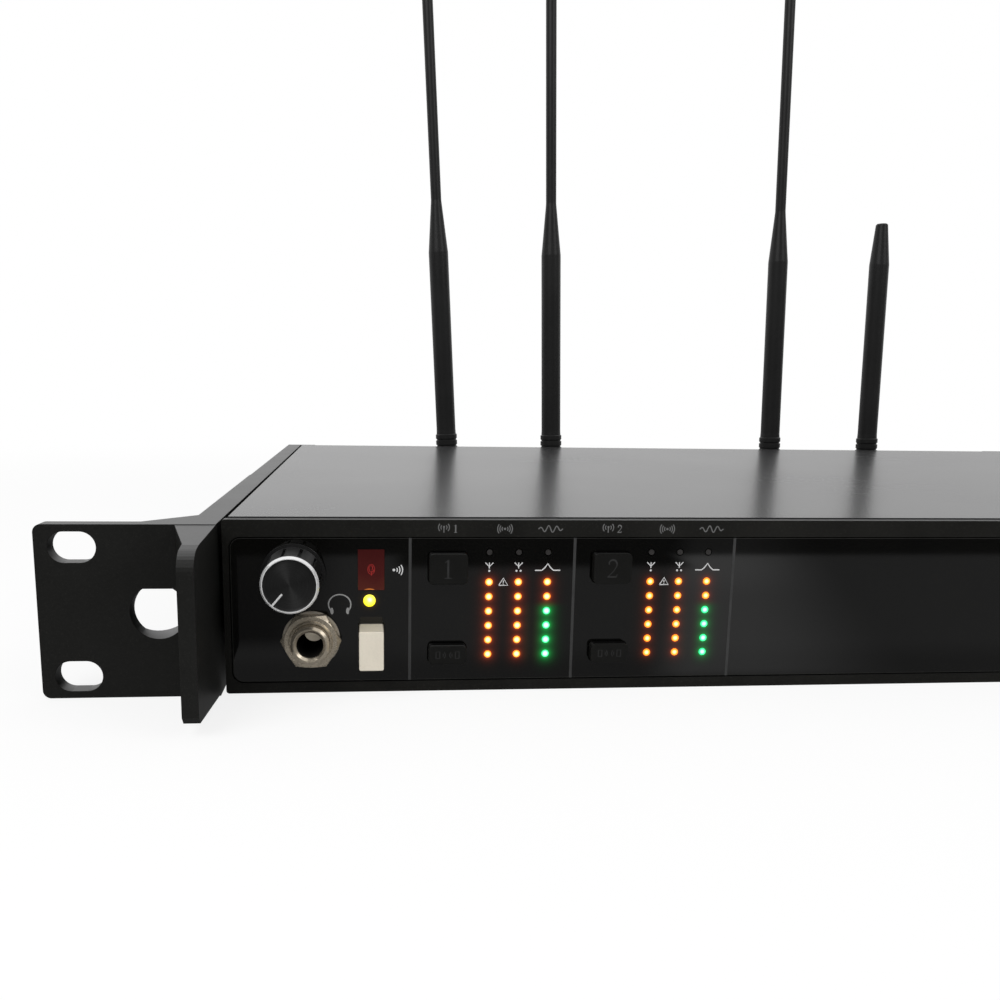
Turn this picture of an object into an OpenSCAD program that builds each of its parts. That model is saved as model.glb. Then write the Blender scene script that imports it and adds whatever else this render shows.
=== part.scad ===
// Wireless receiver unit: one-unit rack body with a glossy control panel,
// two rack brackets with handle fins, and jointed antennas behind it.
// Frame: x = 0 on the body's middle, y = 0 on the rack mounting plane (the back
// of the ears), z = 0 on the underside. The front faces -Y and +Z is up.

/* [Rack brackets] */
// How far an ear reaches past the body's side
ear_w = 44.6; // [40:0.1:48]
// Distance of a slot column from its ear's outer edge
slot_edge = 8.75; // [8:0.05:10]
// Distance between the two slots of one ear
slot_pitch = 31.75; // [28:0.05:33]
// Length of a rack slot
slot_len = 11.2; // [9:0.1:14]
// Height of a rack slot
slot_h = 7.5; // [6:0.1:8]
// Height of the ear plates and arms
ear_h = 42.8; // [40:0.1:43]
// Thickness of an ear plate
ear_t = 4.8; // [3:0.1:7]
// Corner radius of an ear plate
ear_r = 2; // [0.5:0.1:4]
// Radius of the D hole beside the fin
dhole_r = 6.7; // [4:0.1:7]
// Height of the D hole's flat above its centre
dhole_flat = 5.7; // [3:0.1:6]
// Distance of the D hole from the body's side
dhole_x = 16.4; // [16:0.1:18]
// Thickness of the side arms
arm_t = 6.8; // [4:0.1:9]
// Gap between the body's side and the arms
arm_gap = 2.2; // [1.6:0.1:4]
// Length of an arm behind the mounting plane
arm_len = 122; // [90:1:160]
// How far the rails reach behind the rear panel
rail_over = 22; // [8:1:24]
// How far a fin stands out in front of its ear
fin_reach = 31; // [15:1:45]
// Thickness of a fin at its front
fin_t = 3.7; // [2.5:0.1:5]
// Width of a fin's root on the ear
fin_root = 9.6; // [6:0.1:10]
// Diameter of a bracket screw
bracket_screw_d = 4; // [3:0.5:5]

/* [Body] */
// Width of the body over its cover
body_w = 393.4; // [380:0.1:394]
// Depth of the body behind the mounting plane
body_d = 275; // [240:1:320]
// Height of the body over its cover
body_h = 44.1; // [43.9:0.1:44.4]
// Thickness of the sheet metal
sheet_t = 1.2; // [1:0.1:1.6]
// Depth of the cover's side lips
cover_lip = 12; // [6:0.5:14]
// Radius of a vent slot in the base
vent_r = 1.5; // [1:0.1:2]

/* [Inside] */
// Height of the boards above the base
board_z = 7; // [5:0.5:9]
// Thickness of the circuit boards
board_t = 1.6; // [1:0.1:2]
// Distance of the main board from the base's left wall
board_edge = 13.7; // [12:0.1:16]
// Distance of the main board from the front
board_front = 30; // [26:1:36]
// Distance of the main board from the rear
board_back = 45; // [38:1:52]
// Gap beside the power supply
supply_gap = 4; // [3:0.5:6]
// Width of the power supply
supply_w = 64.5; // [55:0.5:68]
// Depth of the power supply
supply_d = 130; // [100:1:150]
// Distance of the power supply from the front
supply_front = 70; // [50:1:80]
// Width of a receiver can
can_w = 76; // [60:1:80]
// Depth of a receiver can
can_d = 90; // [70:1:100]
// Height of a receiver can
can_h = 18; // [12:1:20]
// Distance between the two receiver cans
can_gap = 14; // [8:1:20]

/* [Front panel] */
// Height of the front frame
frame_h = 43.8; // [43:0.1:43.8]
// How far the front frame passes the body on each side
frame_over = 1.2; // [0.6:0.1:1.5]
// Thickness of the front frame
frame_t = 2.8; // [2.4:0.1:4]
// Thickness of the web behind the lens
web_t = 0.8; // [0.6:0.1:1]
// Set-back of the lens face from the frame face
lens_inset = 0.2; // [0.1:0.05:0.4]
// Height of the lens
lens_h = 36.8; // [36:0.1:38]
// Underside of the lens above the base
lens_z = 2.7; // [2:0.1:3.5]
// Corner radius of the lens
lens_r = 2.8; // [1:0.1:4]
// Side margin of the lens inside the frame
lens_margin = 1.6; // [1.2:0.1:3]
// Width of a divider line
divider_w = 0.7; // [0.4:0.1:1]
// Distance from the body's left side to the first divider
bay_x = 44.4; // [43.5:0.1:45]
// Width of one channel bay
bay_w = 41.35; // [41.2:0.05:43]

/* [Controls] */
// Distance of the volume knob from the body's left side
knob_x = 15.8; // [15:0.1:17]
// Height of the volume knob's axis
knob_z = 30.05; // [29.5:0.05:30.5]
// Skirt diameter of a knob
knob_d = 15.9; // [14:0.1:16.2]
// Front diameter of a knob
knob_front_d = 13.8; // [12:0.1:14]
// Length of a knob
knob_len = 12.6; // [9:0.1:16]
// Number of flutes round a knob
knob_flutes = 11; // [9:1:20]
// Diameter of a knob shaft
shaft_d = 6; // [4:0.1:6.4]
// Distance of the headphone jack from the body's left side
jack_x = 19.95; // [19.6:0.05:20.6]
// Height of the headphone jack's axis
jack_z = 13.9; // [13.5:0.05:14.2]
// Bore of the jacks
jack_bore = 6.5; // [6.4:0.05:6.6]
// Thread diameter of the jacks
jack_thread = 9.4; // [9:0.1:10]
// How far the headphone jack stands out of the lens
jack_out = 7.2; // [4:0.1:8]
// Depth of the jacks' bore
jack_depth = 31.8; // [28:0.1:32]
// Length of a jack's body
jack_body = 26.5; // [26.5:0.1:30]
// Washer diameter of the jacks
washer_d = 14.2; // [13:0.1:14.6]
// Nut size across flats
nut_af = 13; // [12:0.1:13.4]
// Distance of the infrared window and the power button from the left side
power_x = 34.8; // [34.6:0.1:35.2]
// Width of the infrared window
ir_w = 6.5; // [5:0.1:7]
// Height of the infrared window
ir_h = 10.2; // [8:0.1:10.6]
// Height of the infrared window's middle
ir_z = 31.3; // [31:0.1:31.6]
// Diameter of the power lamp
lamp_d = 3; // [2:0.1:3.4]
// Distance of the power lamp from the left side
lamp_x = 34.35; // [34:0.05:34.8]
// Height of the power lamp
lamp_z = 23.5; // [23:0.1:23.6]
// Width of the power button
power_w = 6; // [5:0.1:6.4]
// Height of the power button
power_h = 9.8; // [8:0.1:10.4]
// Height of the power button's middle
power_z = 12.6; // [12:0.1:13]
// How far the power button stands out
power_out = 8; // [5:0.1:9]
// Travel of the power button
power_travel = 3; // [2:0.1:4]
// Width of a channel button
key_w = 9.7; // [8:0.1:10.8]
// Height of a channel button
key_h = 7.9; // [7:0.1:9.4]
// Height of the channel buttons' middle
key_z = 31.85; // [31.5:0.05:32.2]
// Width of a small key
small_key_w = 9.6; // [8:0.1:10.6]
// Height of a small key
small_key_h = 5.1; // [4.6:0.1:6.8]
// Height of the small keys' middle
small_key_z = 9.95; // [9.6:0.05:10.4]
// How far the keys stand out
key_out = 2.5; // [1.5:0.1:3]
// Travel of the keys
key_travel = 0.8; // [0.4:0.1:1]
// Distance from a bay's left divider to its keys
key_dx = 9.4; // [9:0.1:9.8]
// Distance from a bay's left divider to its first lamp column
led_dx = 19.8; // [19.6:0.1:20.4]
// Distance between lamp columns
led_col = 7.4; // [6:0.1:7.8]
// Distance between lamp rows
led_row = 3.733; // [3:0.001:3.8]
// Height of the top lamp row
led_z = 28.1; // [27.5:0.1:28.4]
// Height of the status lamp row
status_z = 35.65; // [35.4:0.05:36]
// Diameter of a meter lamp
led_d = 1.8; // [1:0.1:2.2]
// Distance of the menu knob from the body's right side
menu_x = 22; // [20:0.1:24]
// Distance between the menu knob and the nearest menu key
menu_key_dx = 36; // [32:0.5:44]
// Distance between the menu keys
menu_key_pitch = 16; // [14:0.5:18]
// Distance of the display from the dividers beside it
display_margin = 10.6; // [6:0.1:16]
// Height of the display
display_h = 30; // [24:0.5:32]

/* [Rear connectors and antennas] */
// Width of an audio output's flange
xlr_w = 25; // [24:0.1:26]
// Height of an audio output's flange
xlr_h = 31; // [30:0.1:32]
// Socket diameter of an audio output
xlr_d = 19; // [18:0.1:19.6]
// Width of the power inlet's housing
inlet_w = 27.6; // [26:0.1:28]
// Height of the power inlet's housing
inlet_h = 20.6; // [19:0.1:22]
// How far an antenna socket stands out of the rear panel
socket_out = 8; // [7:0.1:9]
// Thread diameter of an antenna socket
socket_d = 9.4; // [9:0.1:10]
// Place of the outer antennas as a share of half the body's width
ant_outer_share = 0.605; // [0.57:0.005:0.62]
// Place of the inner antennas as a share of half the body's width
ant_inner_share = 0.316; // [0.28:0.002:0.34]
// Distance of the antenna axes behind the rear panel
ant_y = 17; // [16:0.5:20]
// Height of the antenna sockets
ant_z = 22; // [20:0.5:24]
// Distance from a socket's axis up to the folding pivot
ant_pivot = 9; // [8.5:0.5:11]
// Sleeve diameter of an antenna
ant_sleeve_d = 11.4; // [10:0.1:12]
// Blade diameter of an antenna
ant_blade_d = 10.2; // [8:0.1:10.6]
// Whip diameter of an antenna
ant_whip_d = 5.4; // [4:0.1:7]
// Height above the pivot at which the blade starts to taper
ant_taper_z = 113; // [90:1:130]
// Length of the taper
ant_taper_len = 26; // [15:1:40]
// Length of a long antenna above its pivot
ant_len = 255; // [200:1:300]
// Length of the short antenna above its pivot
ant_short_len = 134.5; // [120:0.5:180]
// Width of the folding tongue
ant_tongue = 4; // [3:0.1:5]
// Lean of the antennas, seen from the front, left positive
ant_lean = [3.2, 1.8, 1.6, 1.3]; // [0:0.1:5]

/* [Hidden] */
$fn = 48;
eps = 0.01;
fit = 0.05;               // radial clearance of a shaft in its bore
slip = 0.2;               // clearance of a key in its window
half_w = body_w / 2;
rack_w = body_w + 2 * ear_w;              // the rack standard's 482.6
slot_span = rack_w - 2 * slot_edge;
frame_w = body_w + 2 * frame_over;
frame_y = -frame_t;       // front face of the frame
lens_w = frame_w - 2 * lens_margin;
lens_y = frame_y + lens_inset;
lens_t = frame_t - web_t - lens_inset;
ear_z = 0.1;              // underside of the ears above the base
wall_half = half_w - sheet_t - 0.1;       // outside of the base's side walls
wall_top = body_h - sheet_t - 0.1;
front_board_y = 9;
pillar_r = 3;
screw_r = bracket_screw_d / 2;
head_sink = 0.25;         // how far a screw head lies below its arm's face
menu_knob_x = half_w - menu_x;
menu_key_x = [menu_knob_x - menu_key_dx, menu_knob_x - menu_key_dx - menu_key_pitch];
bays = [left(bay_x), left(bay_x + bay_w)];
dividers = [left(bay_x), left(bay_x + bay_w), left(bay_x + 2 * bay_w),
    -left(bay_x + 2 * bay_w)];
display_w = -2 * (dividers[2] + display_margin);
ant_x = [-ant_outer_share * half_w, -ant_inner_share * half_w,
    ant_inner_share * half_w, ant_outer_share * half_w];
ant_axis_y = body_d + ant_y;
rear_vent_x = ant_x[2] + 16;
vent_pitch = 5;
vent_w = 2;
vent_h = 20;
xlr_depth = 15;           // depth of an audio output's socket
xlr_pin = 10;             // length of its pins
inlet_depth = 18;         // depth of the power inlet's recess
inlet_blade = 12;         // length of its blades
socket_in = 8;            // how far an antenna socket reaches into the body
socket_hex_r = 7;
panel_back = sheet_t;     // back of the base's front wall
power_switch_w = 8;
xlr_x = [-12, 16];
inlet_x = half_w - 40;
out_jack_x = -36;
bracket_screw_y = [30, 100];
rail_screw_y = [150, body_d - 25];
bracket_screw_z = 14;

function left(x) = x - half_w;

// ---------- helpers ----------
module rrect(w, h, r) {
    square([w - 2 * r, h], center = true);
    square([w, h - 2 * r], center = true);
    for (sx = [-1, 1], sy = [-1, 1])
        translate([sx * (w / 2 - r), sy * (h / 2 - r)]) circle(r);
}

// A flat shape in X and Z, extruded from y0 to y1
module slab(y0, y1) {
    translate([0, y1, 0]) rotate([90, 0, 0]) linear_extrude(y1 - y0) children();
}

module rod_y(x, z, r, y0, y1) {
    translate([x, y1, z]) rotate([90, 0, 0]) cylinder(h = y1 - y0, r = r);
}

module cone_y(x, z, r0, r1, y0, y1) {
    translate([x, y0, z]) rotate([-90, 0, 0]) cylinder(h = y1 - y0, r1 = r0, r2 = r1);
}

module block(x0, x1, y0, y1, z0, z1) {
    translate([x0, y0, z0]) cube([x1 - x0, y1 - y0, z1 - z0]);
}

module both_sides(side) {
    mirror([side > 0 ? 1 : 0, 0, 0]) children();
}

// ---------- openings of the front, shared by frame, lens and base ----------
module led_places() {
    for (bx = bays, col = [0:2], row = [0:5])
        translate([bx + led_dx + col * led_col, led_z - row * led_row])
            children();
}

module status_places() {
    for (bx = bays, col = [0:2])
        translate([bx + led_dx + col * led_col, status_z]) children();
}

module key_holes(gap) {
    for (bx = bays) {
        translate([bx + key_dx, key_z])
            rrect(key_w + 2 * gap, key_h + 2 * gap, key_r + gap);
        translate([bx + key_dx, small_key_z])
            rrect(small_key_w + 2 * gap, small_key_h + 2 * gap, small_key_r + gap);
    }
    for (kx = menu_key_x)
        translate([kx, small_key_z])
            rrect(small_key_w + 2 * gap, small_key_h + 2 * gap, small_key_r + gap);
    translate([left(power_x), power_z])
        square([power_w + 2 * gap, power_h + 2 * gap], center = true);
}

module round_holes() {
    led_places() circle(led_d / 2 + fit, $fn = 24);
    status_places() circle(led_d / 2 + fit, $fn = 24);
    translate([left(lamp_x), lamp_z]) circle(lamp_d / 2 + fit);
    translate([left(jack_x), jack_z]) circle(jack_thread / 2 + fit);
    translate([left(knob_x), knob_z]) circle(pot_bush_r() + fit);
    translate([menu_knob_x, frame_h / 2]) circle(pot_bush_r() + fit);
}

function pot_bush_r() = shaft_d / 2 + 0.9;

module panel_holes(gap) {
    key_holes(gap);
    round_holes();
}

// ---------- body ----------
module chassis_base() {
    color([0.16, 0.16, 0.17]) difference() {
        union() {
            block(-wall_half, wall_half, 0, body_d, 0, sheet_t);
            for (s = [-1, 1])
                block(s > 0 ? wall_half - sheet_t : -wall_half,
                    s > 0 ? wall_half : -wall_half + sheet_t, 0, body_d, 0, wall_top);
            block(-wall_half, wall_half, 0, sheet_t, 0, wall_top);
            // flanges that carry the rear panel
            block(-wall_half, wall_half, body_d - 2 * sheet_t, body_d - sheet_t, 0, 6);
            for (s = [-1, 1])
                block(s > 0 ? wall_half - 9 : -wall_half, s > 0 ? wall_half : -wall_half + 9,
                    body_d - 2 * sheet_t, body_d - sheet_t, 0, wall_top);
            board_pillars(pillar_r, sheet_t / 2, board_z);
        }
        slab(-eps, sheet_t + eps) panel_holes(slip);
        slab(-eps, sheet_t + eps) display_window();
        slab(-eps, sheet_t + eps) ir_hole();
        side_screw_holes(wall_half + 1, screw_r + 0.02);
        block(-wall_half - 1, wall_half + 1, body_d - sheet_t, body_d + 1, -1, body_h);
        rear_screw_holes(1.25, body_d - 3 * sheet_t);
        for (i = [0:11], s = [-1, 1])
            translate([s * 60 + (i - 5.5) * 8, 60, -1]) linear_extrude(sheet_t + 2)
                vent();
    }
}

module vent() {
    square([2 * vent_r, 24], center = true);
    for (s = [-1, 1]) translate([0, s * 12]) circle(vent_r);
}

supply_x1 = wall_half - sheet_t - supply_gap;
supply_x0 = supply_x1 - supply_w;
board_x0 = -wall_half + board_edge;
board_x1 = supply_x0 - supply_gap;
board_y1 = body_d - board_back;
board_top = board_z + board_t;

module board_pillars(r, z0, z1) {
    for (x = [board_x0 + 8, board_x1 - 8], y = [board_front + 8, board_y1 - 8])
        translate([x, y, z0]) cylinder(h = z1 - z0, r = r);
}

module display_window() {
    translate([0, lens_z + lens_h / 2])
        square([display_w - 6, display_h - 4], center = true);
}

module ir_hole() {
    translate([left(power_x), ir_z]) square([ir_w + 2 * fit, ir_h + 2 * fit], center = true);
}

module side_screw_holes(reach, r) {
    for (s = [-1, 1], y = concat(bracket_screw_y, rail_screw_y))
        translate([s * (reach + 12), y, bracket_screw_z]) rotate([0, -90 * s, 0])
            cylinder(h = 20, r = r);
}

module top_cover() {
    color([0.20, 0.20, 0.21]) difference() {
        union() {
            block(-half_w, half_w, 0.5, body_d, body_h - sheet_t, body_h);
            for (s = [-1, 1])
                block(s > 0 ? half_w - sheet_t : -half_w,
                    s > 0 ? half_w : -half_w + sheet_t,
                    0.5, body_d, body_h - cover_lip, body_h);
            // lips that the rear screws hold
            for (x = cover_screw_x)
                block(x - 12, x + 12, body_d - 2 * sheet_t, body_d - sheet_t,
                    body_h - 9, body_h);
        }
        rear_screw_holes(1.25, body_d - 3 * sheet_t);
    }
}

side_screw_x = [-wall_half + 5, wall_half - 5];
cover_screw_x = [ant_x[1] - 28, ant_x[2] - 22, ant_x[2] + 28];

module rear_screw_places() {
    for (x = side_screw_x, z = [12, 34]) translate([x, z]) children();
    for (x = cover_screw_x) translate([x, body_h - 5.5]) children();
}

module rear_screw_holes(r, y0) {
    slab(y0, body_d + 1) rear_screw_places() circle(r, $fn = 24);
}

module rear_panel() {
    color([0.18, 0.18, 0.19]) difference() {
        slab(body_d - sheet_t, body_d) translate([0, body_h / 2 - 0.3])
            square([2 * wall_half, body_h - 2 * sheet_t - 0.4], center = true);
        rear_screw_holes(1.3, body_d - 2 * sheet_t);
        for (x = ant_x) rod_y(x, ant_z, socket_d / 2 + 0.1, body_d - 3, body_d + 1);
        for (x = xlr_x) rod_y(x, ant_z, xlr_d / 2 + 2.1, body_d - 3, body_d + 1);
        rod_y(out_jack_x, ant_z, jack_thread / 2 + fit, body_d - 3, body_d + 1);
        slab(body_d - 3, body_d + 1) translate([inlet_x, ant_z])
            rrect(inlet_w + 0.4, inlet_h + 0.4, 2);
        for (s = [-1, 1], i = [0:5])
            slab(body_d - 3, body_d + 1)
                translate([s * (rear_vent_x + vent_pitch * i), ant_z])
                    square([vent_w, vent_h], center = true);
    }
}

module rear_screws() {
    color([0.35, 0.35, 0.37]) difference() {
        rear_screw_places_3d();
        rear_screw_slots();
    }
}

module rear_screw_places_3d() {
    slab(body_d, body_d + 1.6) rear_screw_places() circle(2.6, $fn = 32);
    slab(body_d - 6, body_d) rear_screw_places() circle(1.24, $fn = 24);
}

module rear_screw_slots() {
    slab(body_d + 0.8, body_d + 2) rear_screw_places() {
        square([3, 0.7], center = true);
        square([0.7, 3], center = true);
    }
}

module front_frame() {
    color([0.11, 0.11, 0.115]) difference() {
        slab(frame_y, 0) translate([0, frame_h / 2]) rrect(frame_w, frame_h, 0.8);
        slab(frame_y - 1, -web_t) translate([0, lens_z + lens_h / 2])
            rrect(lens_w + 2 * fit, lens_h + 2 * fit, lens_r);
        slab(-web_t - 1, 1) panel_holes(slip);
        slab(-web_t - 1, 1) display_window();
        slab(-web_t - 1, 1) ir_hole();
    }
}

module front_lens() {
    color([0.02, 0.02, 0.025]) difference() {
        slab(lens_y, lens_y + lens_t) translate([0, lens_z + lens_h / 2])
            rrect(lens_w, lens_h, lens_r);
        slab(lens_y - 1, 1) panel_holes(slip);
        slab(lens_y - 1, 1) ir_hole();
    }
}

module divider_lines() {
    color([0.26, 0.27, 0.27]) slab(lens_y - 0.05, lens_y)
        for (x = dividers) translate([x, lens_z + lens_h / 2])
            square([divider_w, lens_h - 0.4], center = true);
}

// ---------- rack brackets ----------
module fin_side() {
    // side outline of the fin, in Y and Z
    y_front = -ear_t - fin_reach;
    top = ear_z + ear_h;
    nose_r = 5;
    polygon(concat([[0, top], [-ear_t - fin_reach + 7, top - 1]],
        [for (a = [80:-10:0]) [y_front + nose_r - nose_r * cos(a),
            top - 1.4 - nose_r + nose_r * sin(a)]],
        [[y_front, ear_z + 5.2], [y_front + 1.6, ear_z + 3.4], [0, ear_z]]));
}

module fin_plan() {
    // plan of the fin, measured outwards from the body's side in -X
    inner = -half_w - arm_gap;
    y_front = -ear_t - fin_reach;
    polygon([[inner, 0], [inner, y_front], [inner - fin_t, y_front],
        [inner - fin_t, y_front + 8], [inner - fin_root, -ear_t],
        [inner - fin_root, 0]]);
}

module bracket_shape() {
    inner = -half_w - arm_gap;
    outer = inner - arm_t;
    difference() {
        union() {
            // ear plate with rounded outer corners
            slab(-ear_t, 0) translate([(inner - rack_w / 2) / 2, ear_z + ear_h / 2])
                rrect(rack_w / 2 + inner, ear_h, ear_r);
            block(inner - 4, inner, -ear_t, 0, ear_z, ear_z + ear_h);
            block(outer, inner, -eps, arm_len, ear_z, ear_z + ear_h);
            // gusset behind the ear
            translate([0, 0, ear_z]) linear_extrude(ear_h)
                polygon([[outer, 12], [outer - 11.7, 0], [outer, -1], [outer + 1, 12]]);
            // fin: its plan and its side outline meet
            intersection() {
                translate([0, 0, ear_z]) linear_extrude(ear_h) fin_plan();
                translate([inner - fin_root - 1, 0, 0]) rotate([90, 0, 90])
                    linear_extrude(fin_root + 2) fin_side();
            }
            // pads that seat on the base's side wall
            for (y = bracket_screw_y)
                translate([inner - 1, y, bracket_screw_z]) rotate([0, 90, 0])
                    cylinder(h = 1 + arm_gap + half_w - wall_half, r = 6);
        }
        for (s = [-1, 1])
            slab(-ear_t - 1, 1)
                translate([-slot_span / 2, ear_z + ear_h / 2 + s * slot_pitch / 2]) {
                    square([slot_len - slot_h, slot_h], center = true);
                    for (e = [-1, 1])
                        translate([e * (slot_len - slot_h) / 2, 0]) circle(slot_h / 2);
                }
        slab(-ear_t - fin_reach - 1, 13) translate([-half_w - dhole_x, ear_z + ear_h / 2])
            intersection() {
                circle(dhole_r);
                translate([0, dhole_flat - dhole_r]) square(2 * dhole_r, center = true);
            }
        for (y = bracket_screw_y) screw_seat(outer, y);
    }
}

module screw_seat(outer, y) {
    translate([outer - 1, y, bracket_screw_z]) rotate([0, 90, 0]) {
        cylinder(h = arm_t + arm_gap + 4, r = screw_r + fit);
        translate([0, 0, 1 - eps]) cylinder(h = screw_r + eps, r1 = 2 * screw_r + fit,
            r2 = screw_r + fit);
        cylinder(h = 1, r = 2 * screw_r + fit);
    }
}

module rack_bracket_left() {
    color([0.13, 0.13, 0.135]) bracket_shape();
}

module rack_bracket_right() {
    color([0.13, 0.13, 0.135]) both_sides(1) bracket_shape();
}

module rail_shape() {
    inner = -half_w - arm_gap;
    outer = inner - arm_t;
    rear = body_d + rail_over;
    difference() {
        union() {
            block(outer + 0.2, inner, arm_len, rear, ear_z, ear_z + ear_h);
            // guard lug behind the rear corner
            block(outer + 0.2, -half_w + 5.5, rear - 5, rear, ear_z, ear_z + ear_h);
            for (y = rail_screw_y)
                translate([inner - 1, y, bracket_screw_z]) rotate([0, 90, 0])
                    cylinder(h = 1 + arm_gap + half_w - wall_half, r = 6);
        }
        for (y = rail_screw_y) screw_seat(outer, y);
    }
}

module side_rail_left() {
    color([0.13, 0.13, 0.135]) rail_shape();
}

module side_rail_right() {
    color([0.13, 0.13, 0.135]) both_sides(1) rail_shape();
}

module bracket_screws() {
    outer = half_w + arm_gap + arm_t;
    color([0.30, 0.30, 0.32])
        for (s = [-1, 1], y = concat(bracket_screw_y, rail_screw_y))
            translate([s * (outer - head_sink), y, bracket_screw_z])
                rotate([0, -90 * s, 0])
                difference() {
                    union() {
                        cylinder(h = arm_t + arm_gap + 4, r = screw_r);
                        cylinder(h = screw_r - head_sink, r1 = 2 * screw_r - head_sink,
                            r2 = screw_r);
                    }
                    translate([0, 0, -eps]) cylinder(h = 1.4, r = 1.25, $fn = 6);
                }
}

// ---------- knobs, keys and lamps ----------
knob_gap = 0.4;
knob_back = lens_y - knob_gap;
ring_t = 0.65;            // width of the ring round a knob's face
ring_d = 0.65;            // how far the ring's slope runs back
ring_land = 0.2;          // flat rim at the ring's front
flange_t = 0.9;           // thickness of the knob's flange
flange_step = 0.75;       // how far the flange passes the skirt
flute_w = 0.75;
flute_d = 0.8;
pointer_r = 2.85;         // inner end of the pointer line
pointer_w = 0.46;
key_r = 1.3;              // corner radius of the channel buttons
small_key_r = 1.2;        // corner radius of the small keys

module knob(x, z) {
    face = knob_back - knob_len;
    r_face = knob_front_d / 2;
    r_skirt = knob_d / 2 - flange_step;
    slope = atan((r_skirt - r_face) / (knob_len - ring_d - flange_t));
    difference() {
        union() {
            // core that carries the ring
            rod_y(x, z, r_face - ring_t - 0.02, face + 0.3, face + 2);
            cone_y(x, z, r_face, r_skirt, face + ring_d, knob_back - flange_t);
            rod_y(x, z, knob_d / 2, knob_back - flange_t, knob_back);
        }
        // flutes between the wide ribs
        for (i = [0:knob_flutes - 1])
            translate([x, face + ring_d, z]) rotate([0, 26.9 + i * 360 / knob_flutes, 0])
                translate([r_face - flute_d, 0, -flute_w / 2]) rotate([0, 0, -slope])
                    translate([0, 1, 0]) cube([3, knob_len - 3.6, flute_w]);
        rod_y(x, z, shaft_d / 2 + 0.02, knob_back - 9, knob_back + 1);
        rod_y(x, z, pot_bush_r() + 1.2, knob_back - 1.5, knob_back + 1);
    }
}

module knob_ring(x, z, pointer_angle) {
    face = knob_back - knob_len;
    r_face = knob_front_d / 2;
    difference() {
        cone_y(x, z, r_face - ring_t + ring_land, r_face - 0.02, face - 0.25, face + ring_d);
        rod_y(x, z, r_face - ring_t, face - 1, face + 1);
    }
    // pointer line set into the face
    translate([x, face, z]) rotate([0, pointer_angle, 0]) {
        translate([-pointer_w / 2, 0, pointer_r])
            cube([pointer_w, 0.3, r_face - ring_t - 0.02 - pointer_r]);
        translate([0, 0, pointer_r]) rotate([-90, 0, 0]) cylinder(h = 0.3, r = pointer_w / 2);
    }
}

module shaft(x, z) {
    rod_y(x, z, shaft_d / 2, knob_back - 8.8, 6);
}

module pot(x, z) {
    difference() {
        union() {
            rod_y(x, z, pot_bush_r(), -2.4, panel_back + 1);
            block(x - 6, x + 6, panel_back, front_board_y, z - 5.5, z + 6);
        }
        rod_y(x, z, shaft_d / 2 + fit, -10, 6.3);
    }
}

module volume_knob() {
    color([0.05, 0.05, 0.055]) knob(left(knob_x), knob_z);
}

module volume_knob_ring() {
    color([0.85, 0.85, 0.86]) knob_ring(left(knob_x), knob_z, -139.4);
}

module volume_shaft() {
    color([0.7, 0.7, 0.72]) shaft(left(knob_x), knob_z);
}

module volume_pot() {
    color([0.45, 0.45, 0.42]) pot(left(knob_x), knob_z);
}

module menu_knob() {
    color([0.05, 0.05, 0.055]) knob(menu_knob_x, frame_h / 2);
}

module menu_knob_ring() {
    color([0.85, 0.85, 0.86]) knob_ring(menu_knob_x, frame_h / 2, 0);
}

module menu_shaft() {
    color([0.7, 0.7, 0.72]) shaft(menu_knob_x, frame_h / 2);
}

module menu_encoder() {
    color([0.45, 0.45, 0.42]) pot(menu_knob_x, frame_h / 2);
}

// A jack that faces -Y: its lip lies at y = 0 and its body starts at y = body_y
module jack_shell(body_y) {
    lip = 0.6;
    difference() {
        union() {
            cone_y(0, 0, jack_thread / 2 - lip, jack_thread / 2, 0, lip);
            rod_y(0, 0, jack_thread / 2, lip, body_y + 1);
            block(-6.4, 6.4, body_y, body_y + jack_body, -6.2, 7.4);
        }
        rod_y(0, 0, jack_bore / 2, -1, jack_depth);
        cone_y(0, 0, jack_bore / 2 + lip, jack_bore / 2, -eps, lip);
    }
}

jack_lip_y = lens_y - jack_out;

module headphone_jack() {
    color([0.72, 0.69, 0.64]) translate([left(jack_x), jack_lip_y, jack_z])
        jack_shell(panel_back - jack_lip_y);
}

module jack_washer() {
    color([0.75, 0.72, 0.66]) difference() {
        rod_y(left(jack_x), jack_z, washer_d / 2, lens_y - 0.9, lens_y);
        rod_y(left(jack_x), jack_z, jack_thread / 2 + fit, lens_y - 2, lens_y + 1);
    }
}

module hex_nut(x, z, y0, y1) {
    collar = 0.7;
    difference() {
        union() {
            intersection() {
                translate([x, y1, z]) rotate([90, 0, 0])
                    cylinder(h = y1 - y0, r = nut_af / sqrt(3), $fn = 6);
                cone_y(x, z, nut_af / 2 - 0.1, nut_af / 2 + 3.4, y0, y0 + 3.5);
            }
            cone_y(x, z, jack_thread / 2 + 0.4, jack_thread / 2 + 0.7, y0 - collar, y0);
        }
        rod_y(x, z, jack_thread / 2 + fit, y0 - collar - 1, y1 + 1);
    }
}

module jack_nut() {
    color([0.72, 0.69, 0.64])
        hex_nut(left(jack_x), jack_z, lens_y - 3.5, lens_y - 0.9);
}

module ir_window() {
    color([0.30, 0.05, 0.05]) slab(lens_y - 0.05, lens_y + 1.2)
        translate([left(power_x), ir_z]) square([ir_w, ir_h], center = true);
}

module ir_led() {
    x = left(power_x);
    color([0.6, 0.1, 0.08]) {
        rod_y(x, ir_z, 1.5, 0.6, front_board_y);
        translate([x, 0.6, ir_z]) sphere(r = 1.5);
    }
}

module power_lamp() {
    x = left(lamp_x);
    color([1, 0.75, 0.1]) {
        rod_y(x, lamp_z, lamp_d / 2, lens_y, front_board_y);
        translate([x, lens_y, lamp_z]) sphere(r = lamp_d / 2);
    }
}

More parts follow.
